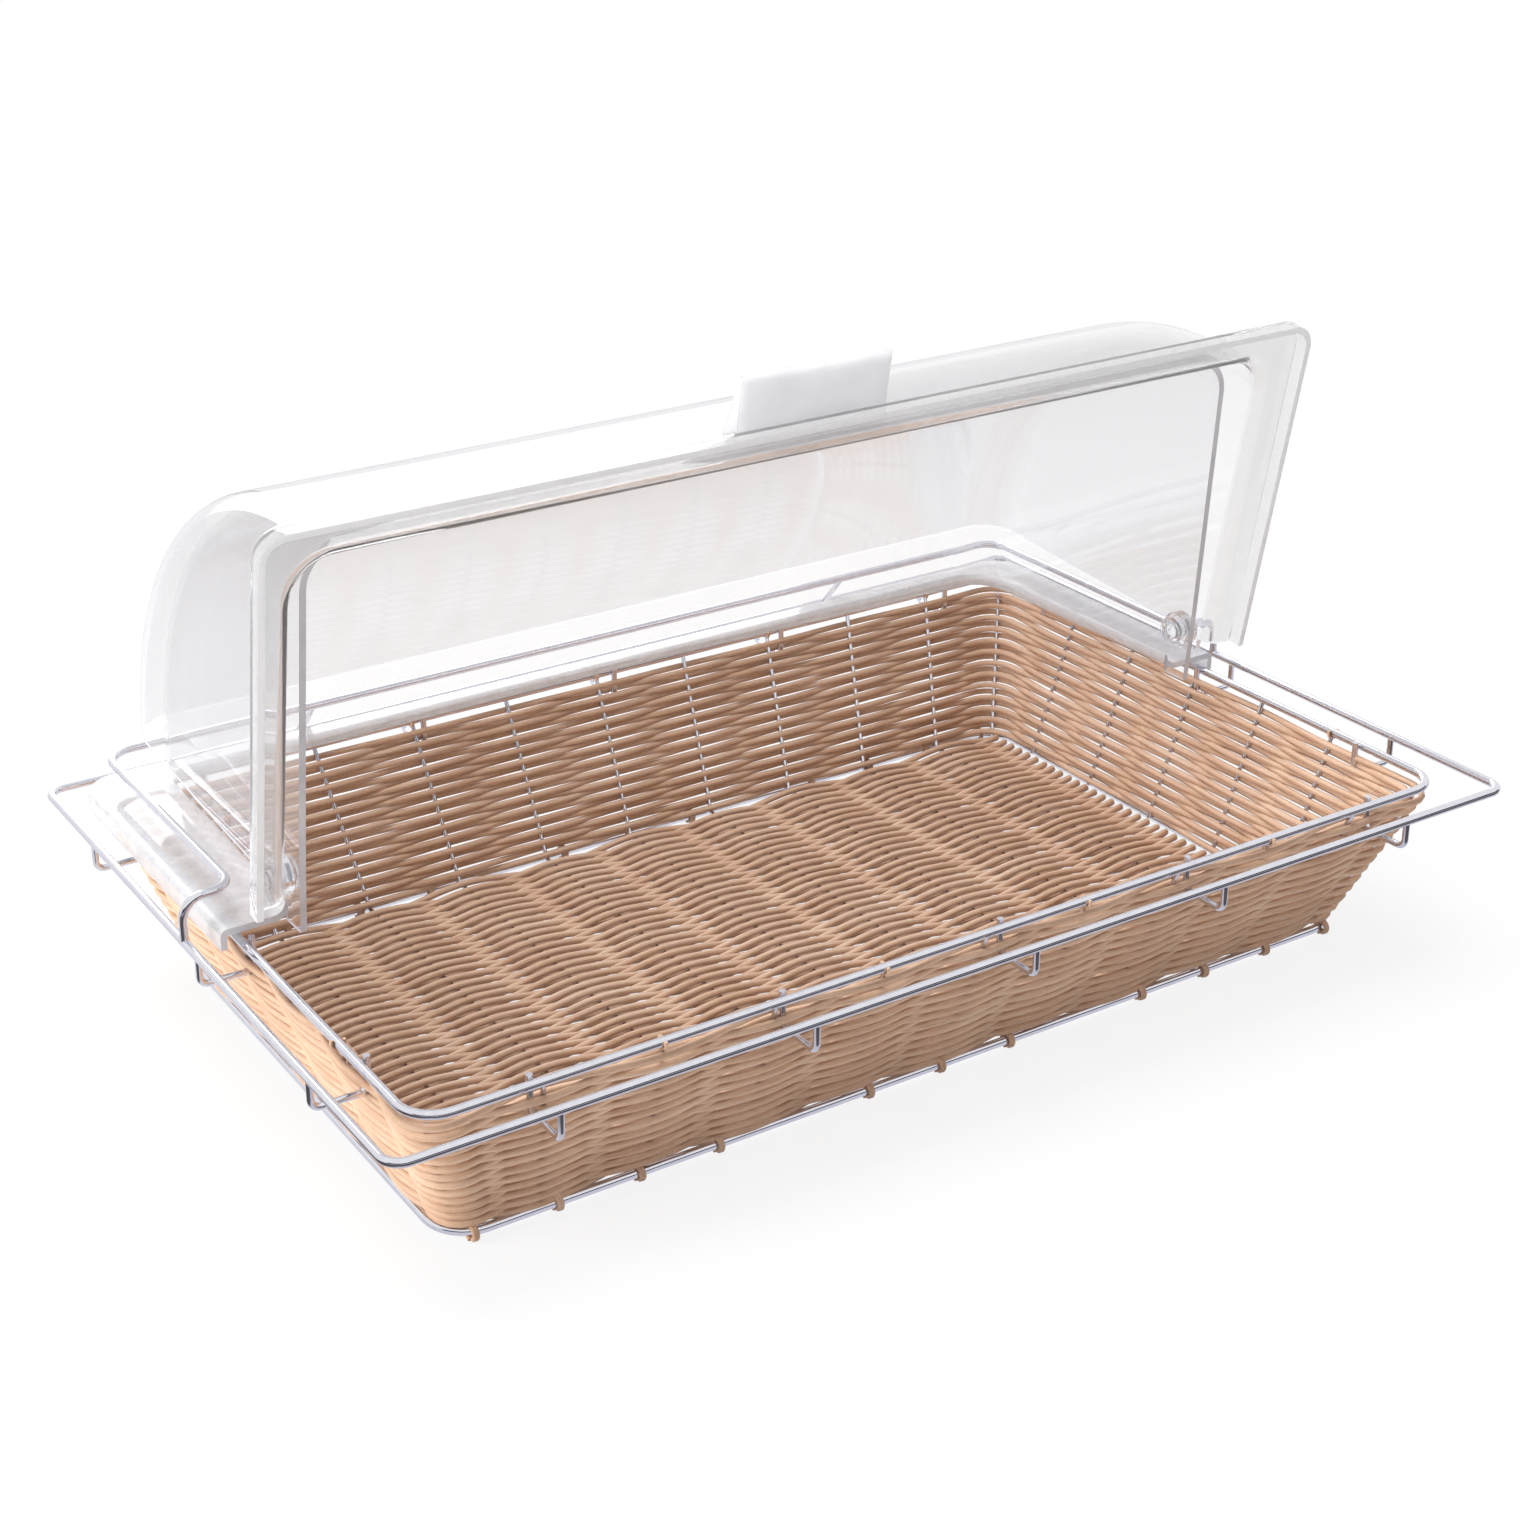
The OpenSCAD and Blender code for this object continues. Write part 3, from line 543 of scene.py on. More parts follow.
def rowPoint(z, s, total, offset):
    # The point at distance s along a row, moved outwards by an offset
    halfX, halfY, corner = stakeHalfX(z), stakeHalfY(z), stakeCorner
    straightX, straightY, arc = rowRuns(z)
    s = (s + straightX / 2) % total
    sides = ((straightX, -halfX + corner, -halfY), (straightY, halfX, -halfY + corner),
             (straightX, halfX - corner, halfY), (straightY, -halfX, halfY - corner))
    for side, (length, x, y) in enumerate(sides):
        heading = side * pi / 2
        forward = Vector((cos(heading), sin(heading), 0))
        outward = Vector((sin(heading), -cos(heading), 0))
        start = Vector((x, y, z))
        if s <= length:
            return start + forward * s + outward * offset
        s -= length
        if s <= arc:
            centre = start + forward * length - outward * corner
            turned = outward * cos(s / corner) + forward * sin(s / corner)
            return centre + turned * (corner + offset)
        s -= arc
    return Vector((-halfX + corner, -halfY - offset, z))


def makeWallWeave():
    rows, strand = weave["rows"], weave["strand"]
    swing = (stakeWire + strand) / 2 - weave["press"]
    lean = atan2(leanX + leanY, 2)
    paths, tones = [], []
    for row in range(rows):
        z = weave["lowest"] + (weave["topRow"] - weave["lowest"]) * row / (rows - 1)
        stakes, total = stakeDistances(z)
        count = round(total / weave["spacing"])
        points = []
        for k in range(count):
            s = total * k / count
            nextStake = next((i for i, place in enumerate(stakes) if place > s), 0)
            before, after = stakes[nextStake - 1], stakes[nextStake]
            share = ((s - before) % total) / ((after - before) % total)
            side = 1 if (nextStake + row) % 2 else -1
            offset = side * swing * cos(pi * share)
            point = rowPoint(z, s, total, offset * cos(lean))
            lift = noise.noise(Vector((s / weave["strayLength"], row * 0.35, 3.0)))
            point.z += lift * weave["stray"] - offset * sin(lean)
            points.append(point)
        paths.append((points, True))
        tones.append(strandTone(row * 1.7, 5.0, 0.0))
    strandPiece("woven_walls", paths, tones, strand, "wall_weave", weave["sides"],
                wander=weave["wander"], wanderLength=weave["wanderLength"],
                seed=weave["wallSeed"])


def makeFloorWeave():
    # Each strand runs along the floor and back, over one stake and under the next
    strand, pitch = weave["strand"], basket["floorPitch"]
    swing = (stakeWire + strand) / 2
    halfX = stakeHalfX(stakeZ) - swing - strand + weave["floorReach"]
    halfY = stakeHalfY(stakeZ) - swing - strand
    count = 2 * floor(halfY / weave["floorPitch"])
    linePitch = 2 * halfY / (count - 1)
    turn = linePitch / 2
    pieces = round(2 * halfX / weave["spacing"])
    stakes = spread(basket["longStakes"], pitch)
    reach = [stakes[0] - pitch] + stakes + [stakes[-1] + pitch]
    paths, tones = [], []
    for line in range(0, count, 2):
        points = []
        for step, way in ((line, 1), (line + 1, -1)):
            y = -halfY + step * linePitch
            for k in range(pieces + 1):
                x = way * (-halfX + turn + 2 * (halfX - turn) * k / pieces)
                i = next(j for j in range(1, len(reach)) if x <= reach[j])
                share = (x - reach[i - 1]) / (reach[i] - reach[i - 1])
                side = 1 if (i + step) % 2 else -1
                z = stakeZ + side * swing * cos(pi * share)
                stray = noise.noise(Vector((x / weave["floorStrayLength"], step * 0.3, 9.0)))
                points.append(Vector((x, y + stray * weave["floorStray"], z)))
            if way == 1:
                points.append(Vector((points[-1].x + turn, y + turn, stakeZ)))
        paths.append((points, False))
        tones.append(strandTone(line * 1.3, 2.0, 7.0))
    strandPiece("woven_floor", paths, tones, strand, "floor_weave", weave["sides"],
                wander=weave["floorWander"], wanderLength=weave["wanderLength"],
                seed=weave["floorSeed"])


# Lashings: strands wound round the rim and round the bottom ring

lash = {
    "thick": 1.8 * mm, "gap": 0.05 * mm, "sides": 10, "stepsPerTurn": 14,
    "rimThin": 0.8, "rimFlat": 0.8, "rimTurns": 0.62, "rimWidth": 0.6 * mm,
    "rimPitch": 105 * mm, "backCount": 5, "frontCount": 4, "endPlace": 94 * mm,
    "footSwell": 1.2, "footFlat": 0.85, "footTurns": 2.2, "footWidth": 2.4 * mm,
    "footPitch": 37.9 * mm, "footEach": 6, "leftOut": 2,
}


def windingPath(centre, axis, wire, thick, width, turns, start):
    # A strand wound round a wire that runs along the axis, from a start angle in turns
    side = Vector((0, 0, 1))
    across = side.cross(axis)
    radius = wire / 2 + thick / 2 + lash["gap"]
    total = round(turns * lash["stepsPerTurn"])
    points = []
    for k in range(total + 1):
        angle = 2 * pi * (k / lash["stepsPerTurn"] + start)
        shift = (k / total - 0.5) * width
        points.append(centre + axis * shift + (side * sin(angle) + across * cos(angle)) * radius)
    return points, False


def makeLashings():
    # A rim lashing only hangs below the rim, while one on the bottom ring goes right round
    thick, turns = lash["thick"], lash["rimTurns"]
    alongX, alongY = Vector((1, 0, 0)), Vector((0, 1, 0))
    spots = [(Vector((x, side * rimY, rimZ)), alongX)
             for side, count in ((1, lash["backCount"]), (-1, lash["frontCount"]))
             for x in spread(count, lash["rimPitch"])]
    spots += [(Vector((sx * rimX, sy * lash["endPlace"], rimZ)), alongY)
              for sx in (-1, 1) for sy in (-1, 1)]
    paths = [windingPath(at, axis, rimWire, thick * lash["rimThin"], lash["rimWidth"], turns,
                         -0.25 - turns / 2) for at, axis in spots]
    tones = [strandTone(*at * 40) for at, axis in spots]
    strandPiece("rim_lashing_strands", paths, tones, thick, "rim_lashings", lash["sides"],
                flatness=lash["rimFlat"])
    places = [i * lash["footPitch"] for i in range(-lash["footEach"], lash["footEach"] + 1)
              if abs(i) != lash["leftOut"]]
    spots = [Vector((x, side * footY, footZ)) for x in places for side in (-1, 1)]
    paths = [windingPath(at, alongX, footWire, thick, lash["footWidth"], lash["footTurns"], -0.25)
             for at in spots]
    tones = [strandTone(*at * 40) for at in spots]
    strandPiece("bottom_lashing_strands", paths, tones, thick * lash["footSwell"],
                "bottom_lashings", lash["sides"], flatness=lash["footFlat"])


# Stand wires

standShape = {
    "ringCorner": 8 * mm, "railInset": 23 * mm, "railBend": 10 * mm, "railCorner": 14 * mm,
    "strut": 155 * mm, "thinWire": 3 * mm, "hookBend": 4 * mm, "thinSides": 14, "loopSides": 20,
    "longHooks": (-214 * mm, -100 * mm, 9 * mm, 112 * mm, 221 * mm),
    "endHooks": (-112 * mm, -3 * mm, 118 * mm),
}


def makeStand():
    loopSides, thin, thinSides = (
        standShape[key] for key in ("loopSides", "thinWire", "thinSides"))
    ring = loopPath(ringX, ringY, standShape["ringCorner"], ringZ)
    wirePiece("outer_ring_wire", [ring], ringWire, loopSides, "outer_ring")
    low, high = nodeBox("upper_rail")
    half = ringWire / 2
    railX, railZ = ringX - standShape["railInset"], high.z - half
    railY, legY = high.y - half, low.y + half
    bend, corner = standShape["railBend"], standShape["railCorner"]
    rightHalf = ((railX, railY, railZ), (railX, legY, railZ), (ringX, legY, railZ),
                 (ringX, legY, ringZ))
    leftHalf = [(-x, y, z) for x, y, z in reversed(rightHalf)]
    rail = roundedPath([Vector(place) for place in (*leftHalf, *rightHalf)],
                       [bend, bend, corner, corner, bend, bend])
    wirePiece("upper_rail_wire", [rail], ringWire, loopSides, "upper_rail")
    struts = [([Vector((x, ringY, ringZ)), Vector((x, railY, railZ))], False)
              for x in (-standShape["strut"], standShape["strut"])]
    wirePiece("rail_strut_wires", struts, thin, thinSides, "rail_struts")

    # Each hook drops from the ring, passes under the rim and rises behind the weave
    sides = (("front", (0, -1, 0), "longHooks"), ("back", (0, 1, 0), "longHooks"),
             ("left", (-1, 0, 0), "endHooks"), ("right", (1, 0, 0), "endHooks"))
    for name, way, places in sides:
        outward = Vector(way)
        low, high = nodeBox(f"{name}_hooks")
        along = Vector((abs(outward.y), abs(outward.x), 0))
        outer = ringX if outward.x else ringY
        inner = min(abs(low.dot(outward)), abs(high.dot(outward))) + thin / 2
        lowZ = low.z + thin / 2
        profile = ((outer, ringZ), (outer, lowZ), (inner, lowZ), (inner, high.z))
        paths = [roundedPath([along * place + outward * d + Vector((0, 0, z)) for d, z in profile],
                             [standShape["hookBend"]] * 2, steps=6)
                 for place in standShape[places]]
        wirePiece(f"{name}_hook_wires", paths, thin, thinSides, f"{name}_hooks")


# Clear hood: each half is a sheet of faces, then given its thickness inwards

hoodSteps = {"corner": 10, "arc": 44, "top": 6, "bend": 6, "frontEdge": 16, "side": 14,
             "shellTail": 4, "lidSide": 12, "lidTail": 6, "tailEnd": 2, "ear": 22}


def addGrid(bm, rows, slot):
    made = [[bm.verts.new(p) for p in row] for row in rows]
    for a, b in zip(made, made[1:]):
        for i in range(len(a) - 1):
            bm.faces.new((a[i], a[i + 1], b[i + 1], b[i])).material_index = slot


def sheetObject(name, walls, flange, thickness, flangeMaterial, edgeMaterial):
    # The right half's patches are mirrored to the left, and the seams between patches are merged.
    # A face at the sheet's cut edge takes the material after that of the face beside it
    bm = bmesh.new()
    for slot, patches in ((0, walls), (2, [flange])):
        for rows in patches:
            addGrid(bm, rows, slot)
            addGrid(bm, [[Vector((-p.x, p.y, p.z)) for p in row] for row in rows], slot)
    cleanMesh(bm, 0.02 * mm)
    top = max(bm.faces, key=lambda face: face.calc_center_median().z)
    if top.normal.z < 0:
        bmesh.ops.reverse_faces(bm, faces=bm.faces)
    obj = meshObject(name, bm, clearAcrylic, edgeMaterial, flangeMaterial, edgeMaterial)
    solid = obj.modifiers.new("thickness", "SOLIDIFY")
    solid.material_offset_rim = 1
    solid.thickness = thickness
    solid.offset = -1
    solid.use_even_offset = True
    addBevel(obj, 0.35 * mm, 50)
    return flattenModifiers(obj)


def hingePoint(x, y, z):  # y and z are measured from the hinge
    return Vector((x, hingeAt.y + y, hingeAt.z + z))


def aroundHinge(x, radius, angle):
    return hingePoint(x, radius * cos(angle), radius * sin(angle))


def flangeRows(base, outer, baseZ, fillet, bend, lip):
    # From the wall's foot out over a fillet, along the flange and down its lip. base and outer
    # are matching points in plan
    angles = spaced(0, pi / 2, hoodSteps["bend"])
    rows = []
    for p, q in zip(base, outer):
        way = q - p
        width = way.length
        way = way / width
        profile = [(fillet * (1 - cos(a)), fillet * (1 - sin(a))) for a in angles]
        profile += [(width - bend + bend * sin(a), bend * (cos(a) - 1)) for a in angles]
        profile.append((width, -lip))
        rows.append([Vector((p.x + way.x * d, p.y + way.y * d, baseZ + h)) for d, h in profile])
    return rows


def makeRearShell():
    low, high = nodeBox("rear_shell")
    shell = {"sheet": 3 * mm, "corner": 20 * mm, "draft": radians(1.5), "edgeForward": 12 * mm,
             "edgeLean": radians(5.3), "skirt": 6.5 * mm, "fillet": 5.5 * mm, "bend": 3.2 * mm,
             "flangeCorner": 16 * mm, "flangeGap": 9.4 * mm, "pin": 8.1 * mm,
             "inside": 22.5 * mm}
    radius = high.z - hingeAt.z
    corner, draft, fillet = shell["corner"], shell["draft"], shell["fillet"]
    halfLength = rimX + rimWire / 2 - shell["inside"]
    skirtTop = low.z + shell["skirt"]
    flangeTop = skirtTop + shell["sheet"]
    centreR = radius - corner
    centreX = halfLength - centreR * tan(draft) - corner / cos(draft)
    footH = flangeTop + fillet - hingeAt.z

    def wallX(distance):  # the end wall leans in with the distance from the hinge
        return halfLength - distance * tan(draft)

    def section(t):  # x and distance from the hinge along the corner, 0 at the wall and 1 on top
        angle = draft + (pi / 2 - draft) * t
        return centreX + corner * cos(angle), centreR + corner * sin(angle)

    def frontAngle(r):  # where the front edge's plane cuts a circle round the hinge
        ahead = shell["edgeForward"] * cos(shell["edgeLean"])
        return pi / 2 + shell["edgeLean"] + asin(ahead / r)

    cornerPlaces = [section(t) for t in spaced(0, 1, hoodSteps["corner"])]
    middleXs = spaced(centreX, 0, hoodSteps["top"])[1:]
    dome = []
    for x, r in cornerPlaces + [(x, radius) for x in middleXs]:
        line = [hingePoint(x, r, h) for h in (footH, footH / 2)]
        line += [aroundHinge(x, r, a) for a in spaced(0, frontAngle(r), hoodSteps["arc"])]
        dome.append(line)

    # The end wall, as rings from the pin's hole out to its edge
    r0 = cornerPlaces[0][1]
    edge = [(r0, footH), (r0, footH / 2)]
    edge += [(r0 * cos(a), r0 * sin(a)) for a in spaced(0, frontAngle(r0), hoodSteps["arc"])]
    topY, topZ = edge[-1]
    bottomZ = skirtTop - hingeAt.z
    bottomY = -shell["edgeForward"] - bottomZ * tan(shell["edgeLean"])
    edge += [(topY + (bottomY - topY) * k, topZ + (bottomZ - topZ) * k)
             for k in spaced(0, 1, hoodSteps["frontEdge"])[1:]]
    flangeStart = -hingeAt.y
    edge += [(y, bottomZ) for y in spaced(bottomY, flangeStart, hoodSteps["shellTail"])[1:]]
    edge.append((flangeStart, footH))
    edge += [(y, footH) for y in spaced(flangeStart, r0, hoodSteps["side"])[1:]]
    hole = shell["pin"] / 2
    rings = []
    for share in (0, 0.02, 0.06, 0.14, 0.3, 0.5, 0.75, 1):
        ring = []
        for y, z in edge:
            length = hypot(y, z)
            at = hole + (length - hole) * share
            y, z = y / length * at, z / length * at
            ring.append(hingePoint(wallX(hypot(y, z) if z >= 0 else abs(y)), y, z))
        rings.append(ring)

    # The flange, from the front of the right side to the middle of the back
    flangeX = ringX - ringWire / 2 - shell["flangeGap"]
    flangeY = ringY - ringWire / 2 - shell["flangeGap"]
    outerCorner = shell["flangeCorner"]
    wallEnd = hingeAt.y + r0
    base, outer = [], []
    for y in spaced(0, wallEnd, hoodSteps["side"]):
        base.append(Vector((wallX(abs(y - hingeAt.y)), y)))
        outer.append(Vector((flangeX, y * (flangeY - outerCorner) / wallEnd)))
    for t, (x, r) in zip(spaced(0, pi / 2, hoodSteps["corner"])[1:], cornerPlaces[1:]):
        base.append(Vector((x, hingeAt.y + r)))
        outer.append(Vector((flangeX - outerCorner * (1 - cos(t)),
                             flangeY - outerCorner * (1 - sin(t)))))
    for x in middleXs:
        base.append(Vector((x, hingeAt.y + radius)))
        outer.append(Vector(((flangeX - outerCorner) * x / centreX, flangeY)))
    flange = flangeRows(base, outer, flangeTop, fillet, shell["bend"], flangeTop - low.z)
    piece = sheetObject("rear_hood_shell", [dome, rings], flange, shell["sheet"], sheenPaintedBase,
                        greyEdgeGlow)
    finishPiece(piece, stand, "rear_shell")


# The lid and its handle are made closed, then turned open about the hinge

lidShape = {
    "open": radians(80), "sheet": 3 * mm, "radius": 157.2 * mm, "corner": 23 * mm,
    "flangeDrop": 13.9 * mm, "flangeWide": 14.4 * mm, "front": 173.3 * mm,
    "flangeCorner": 12 * mm, "lip": 9.5 * mm, "tail": 2 * mm, "ear": 12 * mm,
    "backLean": radians(6), "fillet": 5 * mm, "bend": 3 * mm, "pin": 8.1 * mm,
}


def openLid(obj):
    turn = Matrix.Rotation(-lidShape["open"], 4, "X")
    obj.data.transform(Matrix.Translation(hingeAt) @ turn @ Matrix.Translation(-hingeAt))


def makeLid():
    low, high = nodeBox("front_lid")
    halfX = (high.x - low.x) / 2 - lidShape["flangeWide"]
    radius, corner, fillet = (lidShape[key] for key in ("radius", "corner", "fillet"))
    ear, tail, hole = lidShape["ear"], lidShape["tail"], lidShape["pin"] / 2
    centreR, centreX = radius - corner, halfX - corner
    start = pi / 2 - lidShape["backLean"]
    footH = fillet - lidShape["flangeDrop"]
    cornerAngles = spaced(0, pi / 2, hoodSteps["corner"])
    cornerPlaces = [(centreX + corner * cos(a), centreR + corner * sin(a)) for a in cornerAngles]
    middleXs = spaced(centreX, 0, hoodSteps["top"])[1:]

    def footAngle(r):  # where a circle round the hinge comes down to the foot's height
        return pi + asin(-footH / r)

    def footAngles(ys):
        return [atan2(footH, y) % (2 * pi) for y in ys]

    dome = [[aroundHinge(x, r, a) for a in spaced(start, footAngle(r), hoodSteps["arc"])]
            for x, r in cornerPlaces + [(x, radius) for x in middleXs]]

    # The end wall: a fan from the ear to the corner, and a ring round the pin's hole
    r0 = cornerPlaces[0][1]
    outerAngles = spaced(start, footAngle(r0), hoodSteps["arc"])
    frontY, earY = r0 * cos(outerAngles[-1]), ear * cos(footAngle(ear))
    wallAngles = footAngles(spaced(frontY, earY, hoodSteps["lidSide"])[1:])
    lowAngles = footAngles(spaced(earY, tail, hoodSteps["lidTail"])[1:])
    fan = []
    for a in outerAngles + wallAngles:
        reach = r0 if a <= outerAngles[-1] + 1e-9 else footH / sin(a)
        fan.append([aroundHinge(halfX, ear + (reach - ear) * k, a)
                    for k in (0, 0.05, 0.15, 0.35, 0.6, 0.8, 1)])
    tailTop = max(footH, -sqrt(ear * ear - tail * tail))
    ringAngles = outerAngles + wallAngles + lowAngles
    ringAngles += [atan2(z, tail) % (2 * pi)
                   for z in spaced(footH, tailTop, hoodSteps["tailEnd"])[1:]]
    ringAngles += spaced(ringAngles[-1], start + 2 * pi, hoodSteps["ear"])[1:]
    hub = []
    for a in ringAngles:
        reach = min(ear, footH / sin(a)) if sin(a) < 0 else ear
        hub.append([aroundHinge(halfX, hole + (reach - hole) * k, a) for k in (0, 0.4, 1)])

    # The flange, from the tail of the right side to the middle of the front
    flangeX, flangeY = halfX + lidShape["flangeWide"], -lidShape["front"]
    outerCorner = lidShape["flangeCorner"]
    sideYs = [tail] + [footH / sin(a) * cos(a) for a in reversed(lowAngles[:-1])]
    sideYs += [earY] + [footH / sin(a) * cos(a) for a in reversed(wallAngles[:-1])] + [frontY]
    base, outer = [], []
    for y in sideYs:
        k = (tail - y) / (tail - frontY)
        base.append(Vector((halfX, hingeAt.y + y)))
        outer.append(Vector((flangeX, hingeAt.y + tail + (flangeY + outerCorner - tail) * k)))
    for a, (x, r) in zip(cornerAngles[1:], cornerPlaces[1:]):
        base.append(Vector((x, hingeAt.y - sqrt(r * r - footH * footH))))
        outer.append(Vector((flangeX - outerCorner * (1 - cos(a)),
                             hingeAt.y + flangeY + outerCorner * (1 - sin(a)))))
    for x in middleXs:
        base.append(Vector((x, hingeAt.y - sqrt(radius * radius - footH * footH))))
        outer.append(Vector(((flangeX - outerCorner) * x / centreX, hingeAt.y + flangeY)))
    flange = flangeRows(base, outer, hingeAt.z - lidShape["flangeDrop"], fillet,
                        lidShape["bend"], lidShape["lip"])
    piece = sheetObject("lid_shell", [dome, fan, hub], flange, lidShape["sheet"], sheenPaintedLip,
                        whiteEdgeGlow)
    openLid(piece)
    finishPiece(piece, lid, "front_lid")


def makeHandle():
    # One sheet folded back on itself: its two leaves end on the lid's face
    handle = {"length": 76.5 * mm, "reach": 31 * mm, "spread": 11.5 * mm, "sheet": 1.5 * mm,
              "lift": 2 * mm, "faceGap": 0.1 * mm, "inner": 0.35 * mm, "innerRun": 2.2 * mm}
    t, inner, run = handle["sheet"], handle["inner"], handle["innerRun"]
    face = lidShape["radius"] + handle["faceGap"]
    foldY = -(lidShape["radius"] + handle["reach"] - t)
    foldZ = handle["lift"] + t
    rise = atan2(handle["spread"] - 2 * t, handle["reach"] - t)
    slope = tan(rise)

    def onFace(z):  # where a leaf's face meets the lid at that height
        return -sqrt(face * face - z * z)

    outline = [(onFace(handle["lift"]), handle["lift"])]
    outline += [(foldY + t * cos(a), foldZ + t * sin(a))
                for a in spaced(-pi / 2, -1.5 * pi + rise, 14)]
    bendY, bendZ = outline[-1]
    topY = onFace(bendZ + slope * (handle["reach"] - t))
    topZ = bendZ + slope * (topY - bendY)
    underZ = topZ - t / cos(rise)
    outline += [
        (topY, topZ), (onFace(underZ), underZ),
        (foldY + inner + run, foldZ + t * 0.12 + slope * run),
        (foldY + inner, foldZ + inner * 0.4), (foldY + inner + run, foldZ),
        (onFace(foldZ), foldZ)]
    bm = bmesh.new()
    half = handle["length"] / 2
    left, right = ([bm.verts.new(hingePoint(x, y, z)) for y, z in outline] for x in (-half, half))
    for i in range(len(outline)):
        bm.faces.new((left[i - 1], left[i], right[i], right[i - 1]))
    bm.faces.new(left)
    bm.faces.new(right)
    bmesh.ops.recalc_face_normals(bm, faces=bm.faces)
    obj = meshObject("lid_handle_leaves", bm, satinStyrene)
    addBevel(obj, 0.3 * mm, 40)
    piece = flattenModifiers(obj)
    openLid(piece)
    finishPiece(piece, lid, "lid_handle")


# Hinge pins and spacers, turned about the hinge's axis

def turnedPart(name, profile, side, node):
    # profile is a closed list of (x, radius) in metres, for the right side
    steps = 48
    bm = bmesh.new()
    rings = [[bm.verts.new(aroundHinge(side * x, r, 2 * pi * k / steps)) for x, r in profile]
             for k in range(steps)]
    for a, b in zip(rings, rings[1:] + rings[:1]):
        for i in range(len(profile)):
            j = (i + 1) % len(profile)
            bm.faces.new((a[i], a[j], b[j], b[i]))
    cleanMesh(bm, 0.002 * mm)
    piece = meshObject(name, bm, clearFitting)
    piece.data.set_sharp_from_angle(angle=radians(30))
    finishPiece(piece, stand, node)


def makeHinge():
    hinge = {"body": 4 * mm, "headThick": 2 * mm, "chamfer": 0.5 * mm, "dish": 0.5 * mm,
             "bore": 4.1 * mm}
    body, chamfer, dish, bore = (hinge[key] for key in ("body", "chamfer", "dish", "bore"))
    for side, name in ((-1, "left"), (1, "right")):
        low, high = nodeBox(f"{name}_hinge_pin")
        inside, outside = sorted((abs(low.x), abs(high.x)))
        head, neck = (high.z - low.z) / 2, inside + hinge["headThick"]
        turnedPart(f"{name}_pin", [
            (inside + dish, 0), (inside + dish, head * 0.55), (inside, head * 0.66),
            (inside, head - chamfer), (inside + chamfer, head), (neck, head),
            (neck, body), (outside - chamfer, body), (outside, body - chamfer),
            (outside, body * 0.55), (outside - dish, body * 0.42), (outside - dish, 0)],
            side, f"{name}_hinge_pin")
        low, high = nodeBox(f"{name}_hinge_spacer")
        inside, outside = sorted((abs(low.x), abs(high.x)))
        radius = (high.z - low.z) / 2
        turnedPart(f"{name}_spacer", [
            (inside, bore), (inside, radius - chamfer), (inside + chamfer, radius),
            (outside - chamfer, radius), (outside, radius - chamfer), (outside, radius * 0.8),
            (outside - dish, radius * 0.76), (outside - dish, bore + 0.8 * mm),
            (outside, bore + 0.4 * mm), (outside, bore)],
            side, f"{name}_hinge_spacer")


makeBasketWires()
print("basket wires made")
makeWallWeave()
makeFloorWeave()
makeLashings()
print("weave made")
makeStand()
print("stand made")
makeRearShell()
makeLid()
makeHandle()
makeHinge()
print("hood made")


# Camera, floor, lights and world

def makeCamera():
    # The photo's own view, from a fit to the ring's, rim's and rail's corners. Focal length and
    # centre are in the photo's pixels, and the places are measured from the rim's middle
    view = {"focal": 2571.04, "azimuth": -31.1856, "elevation": 21.5169, "roll": -0.7122,
            "right": -54.084 * mm, "up": 89.403 * mm, "distance": 1186.94 * mm,
            "centreX": 651.13, "centreY": 597.81, "frame": 1536, "sensor": 36.0}
    azimuth, elevation, roll = (radians(view[key]) for key in ("azimuth", "elevation", "roll"))
    back = Vector((sin(azimuth) * cos(elevation), -cos(azimuth) * cos(elevation), sin(elevation)))
    right = Vector((cos(azimuth), sin(azimuth), 0))
    up = back.cross(right)
    place = (back * view["distance"] + right * view["right"] + up * view["up"]
             + Vector((0, 0, rimZ)))
    rolledRight = right * cos(roll) + up * sin(roll)
    rolledUp = up * cos(roll) - right * sin(roll)
    data = bpy.data.cameras.new("camera")
    data.sensor_width = view["sensor"]
    data.lens = view["focal"] * view["sensor"] / view["frame"]
    data.shift_x = (view["frame"] / 2 - view["centreX"]) / view["frame"]
    data.shift_y = (view["centreY"] - view["frame"] / 2) / view["frame"]
    data.clip_end = 50
    camera = linkObject("camera", data)
    turn = Matrix((rolledRight, rolledUp, back)).transposed().to_4x4()
    camera.matrix_world = Matrix.Translation(place) @ turn
    bpy.context.scene.camera = camera


def seenByCamera(tree, path):
    # 1 on the camera's own rays, also where they have come through the hood
    either = addNode(tree, "ShaderNodeMath", {
        0: path["Is Camera Ray"], 1: path["Transmission Depth"]}, operation="MAXIMUM")
    return addNode(tree, "ShaderNodeClamp", {0: either})


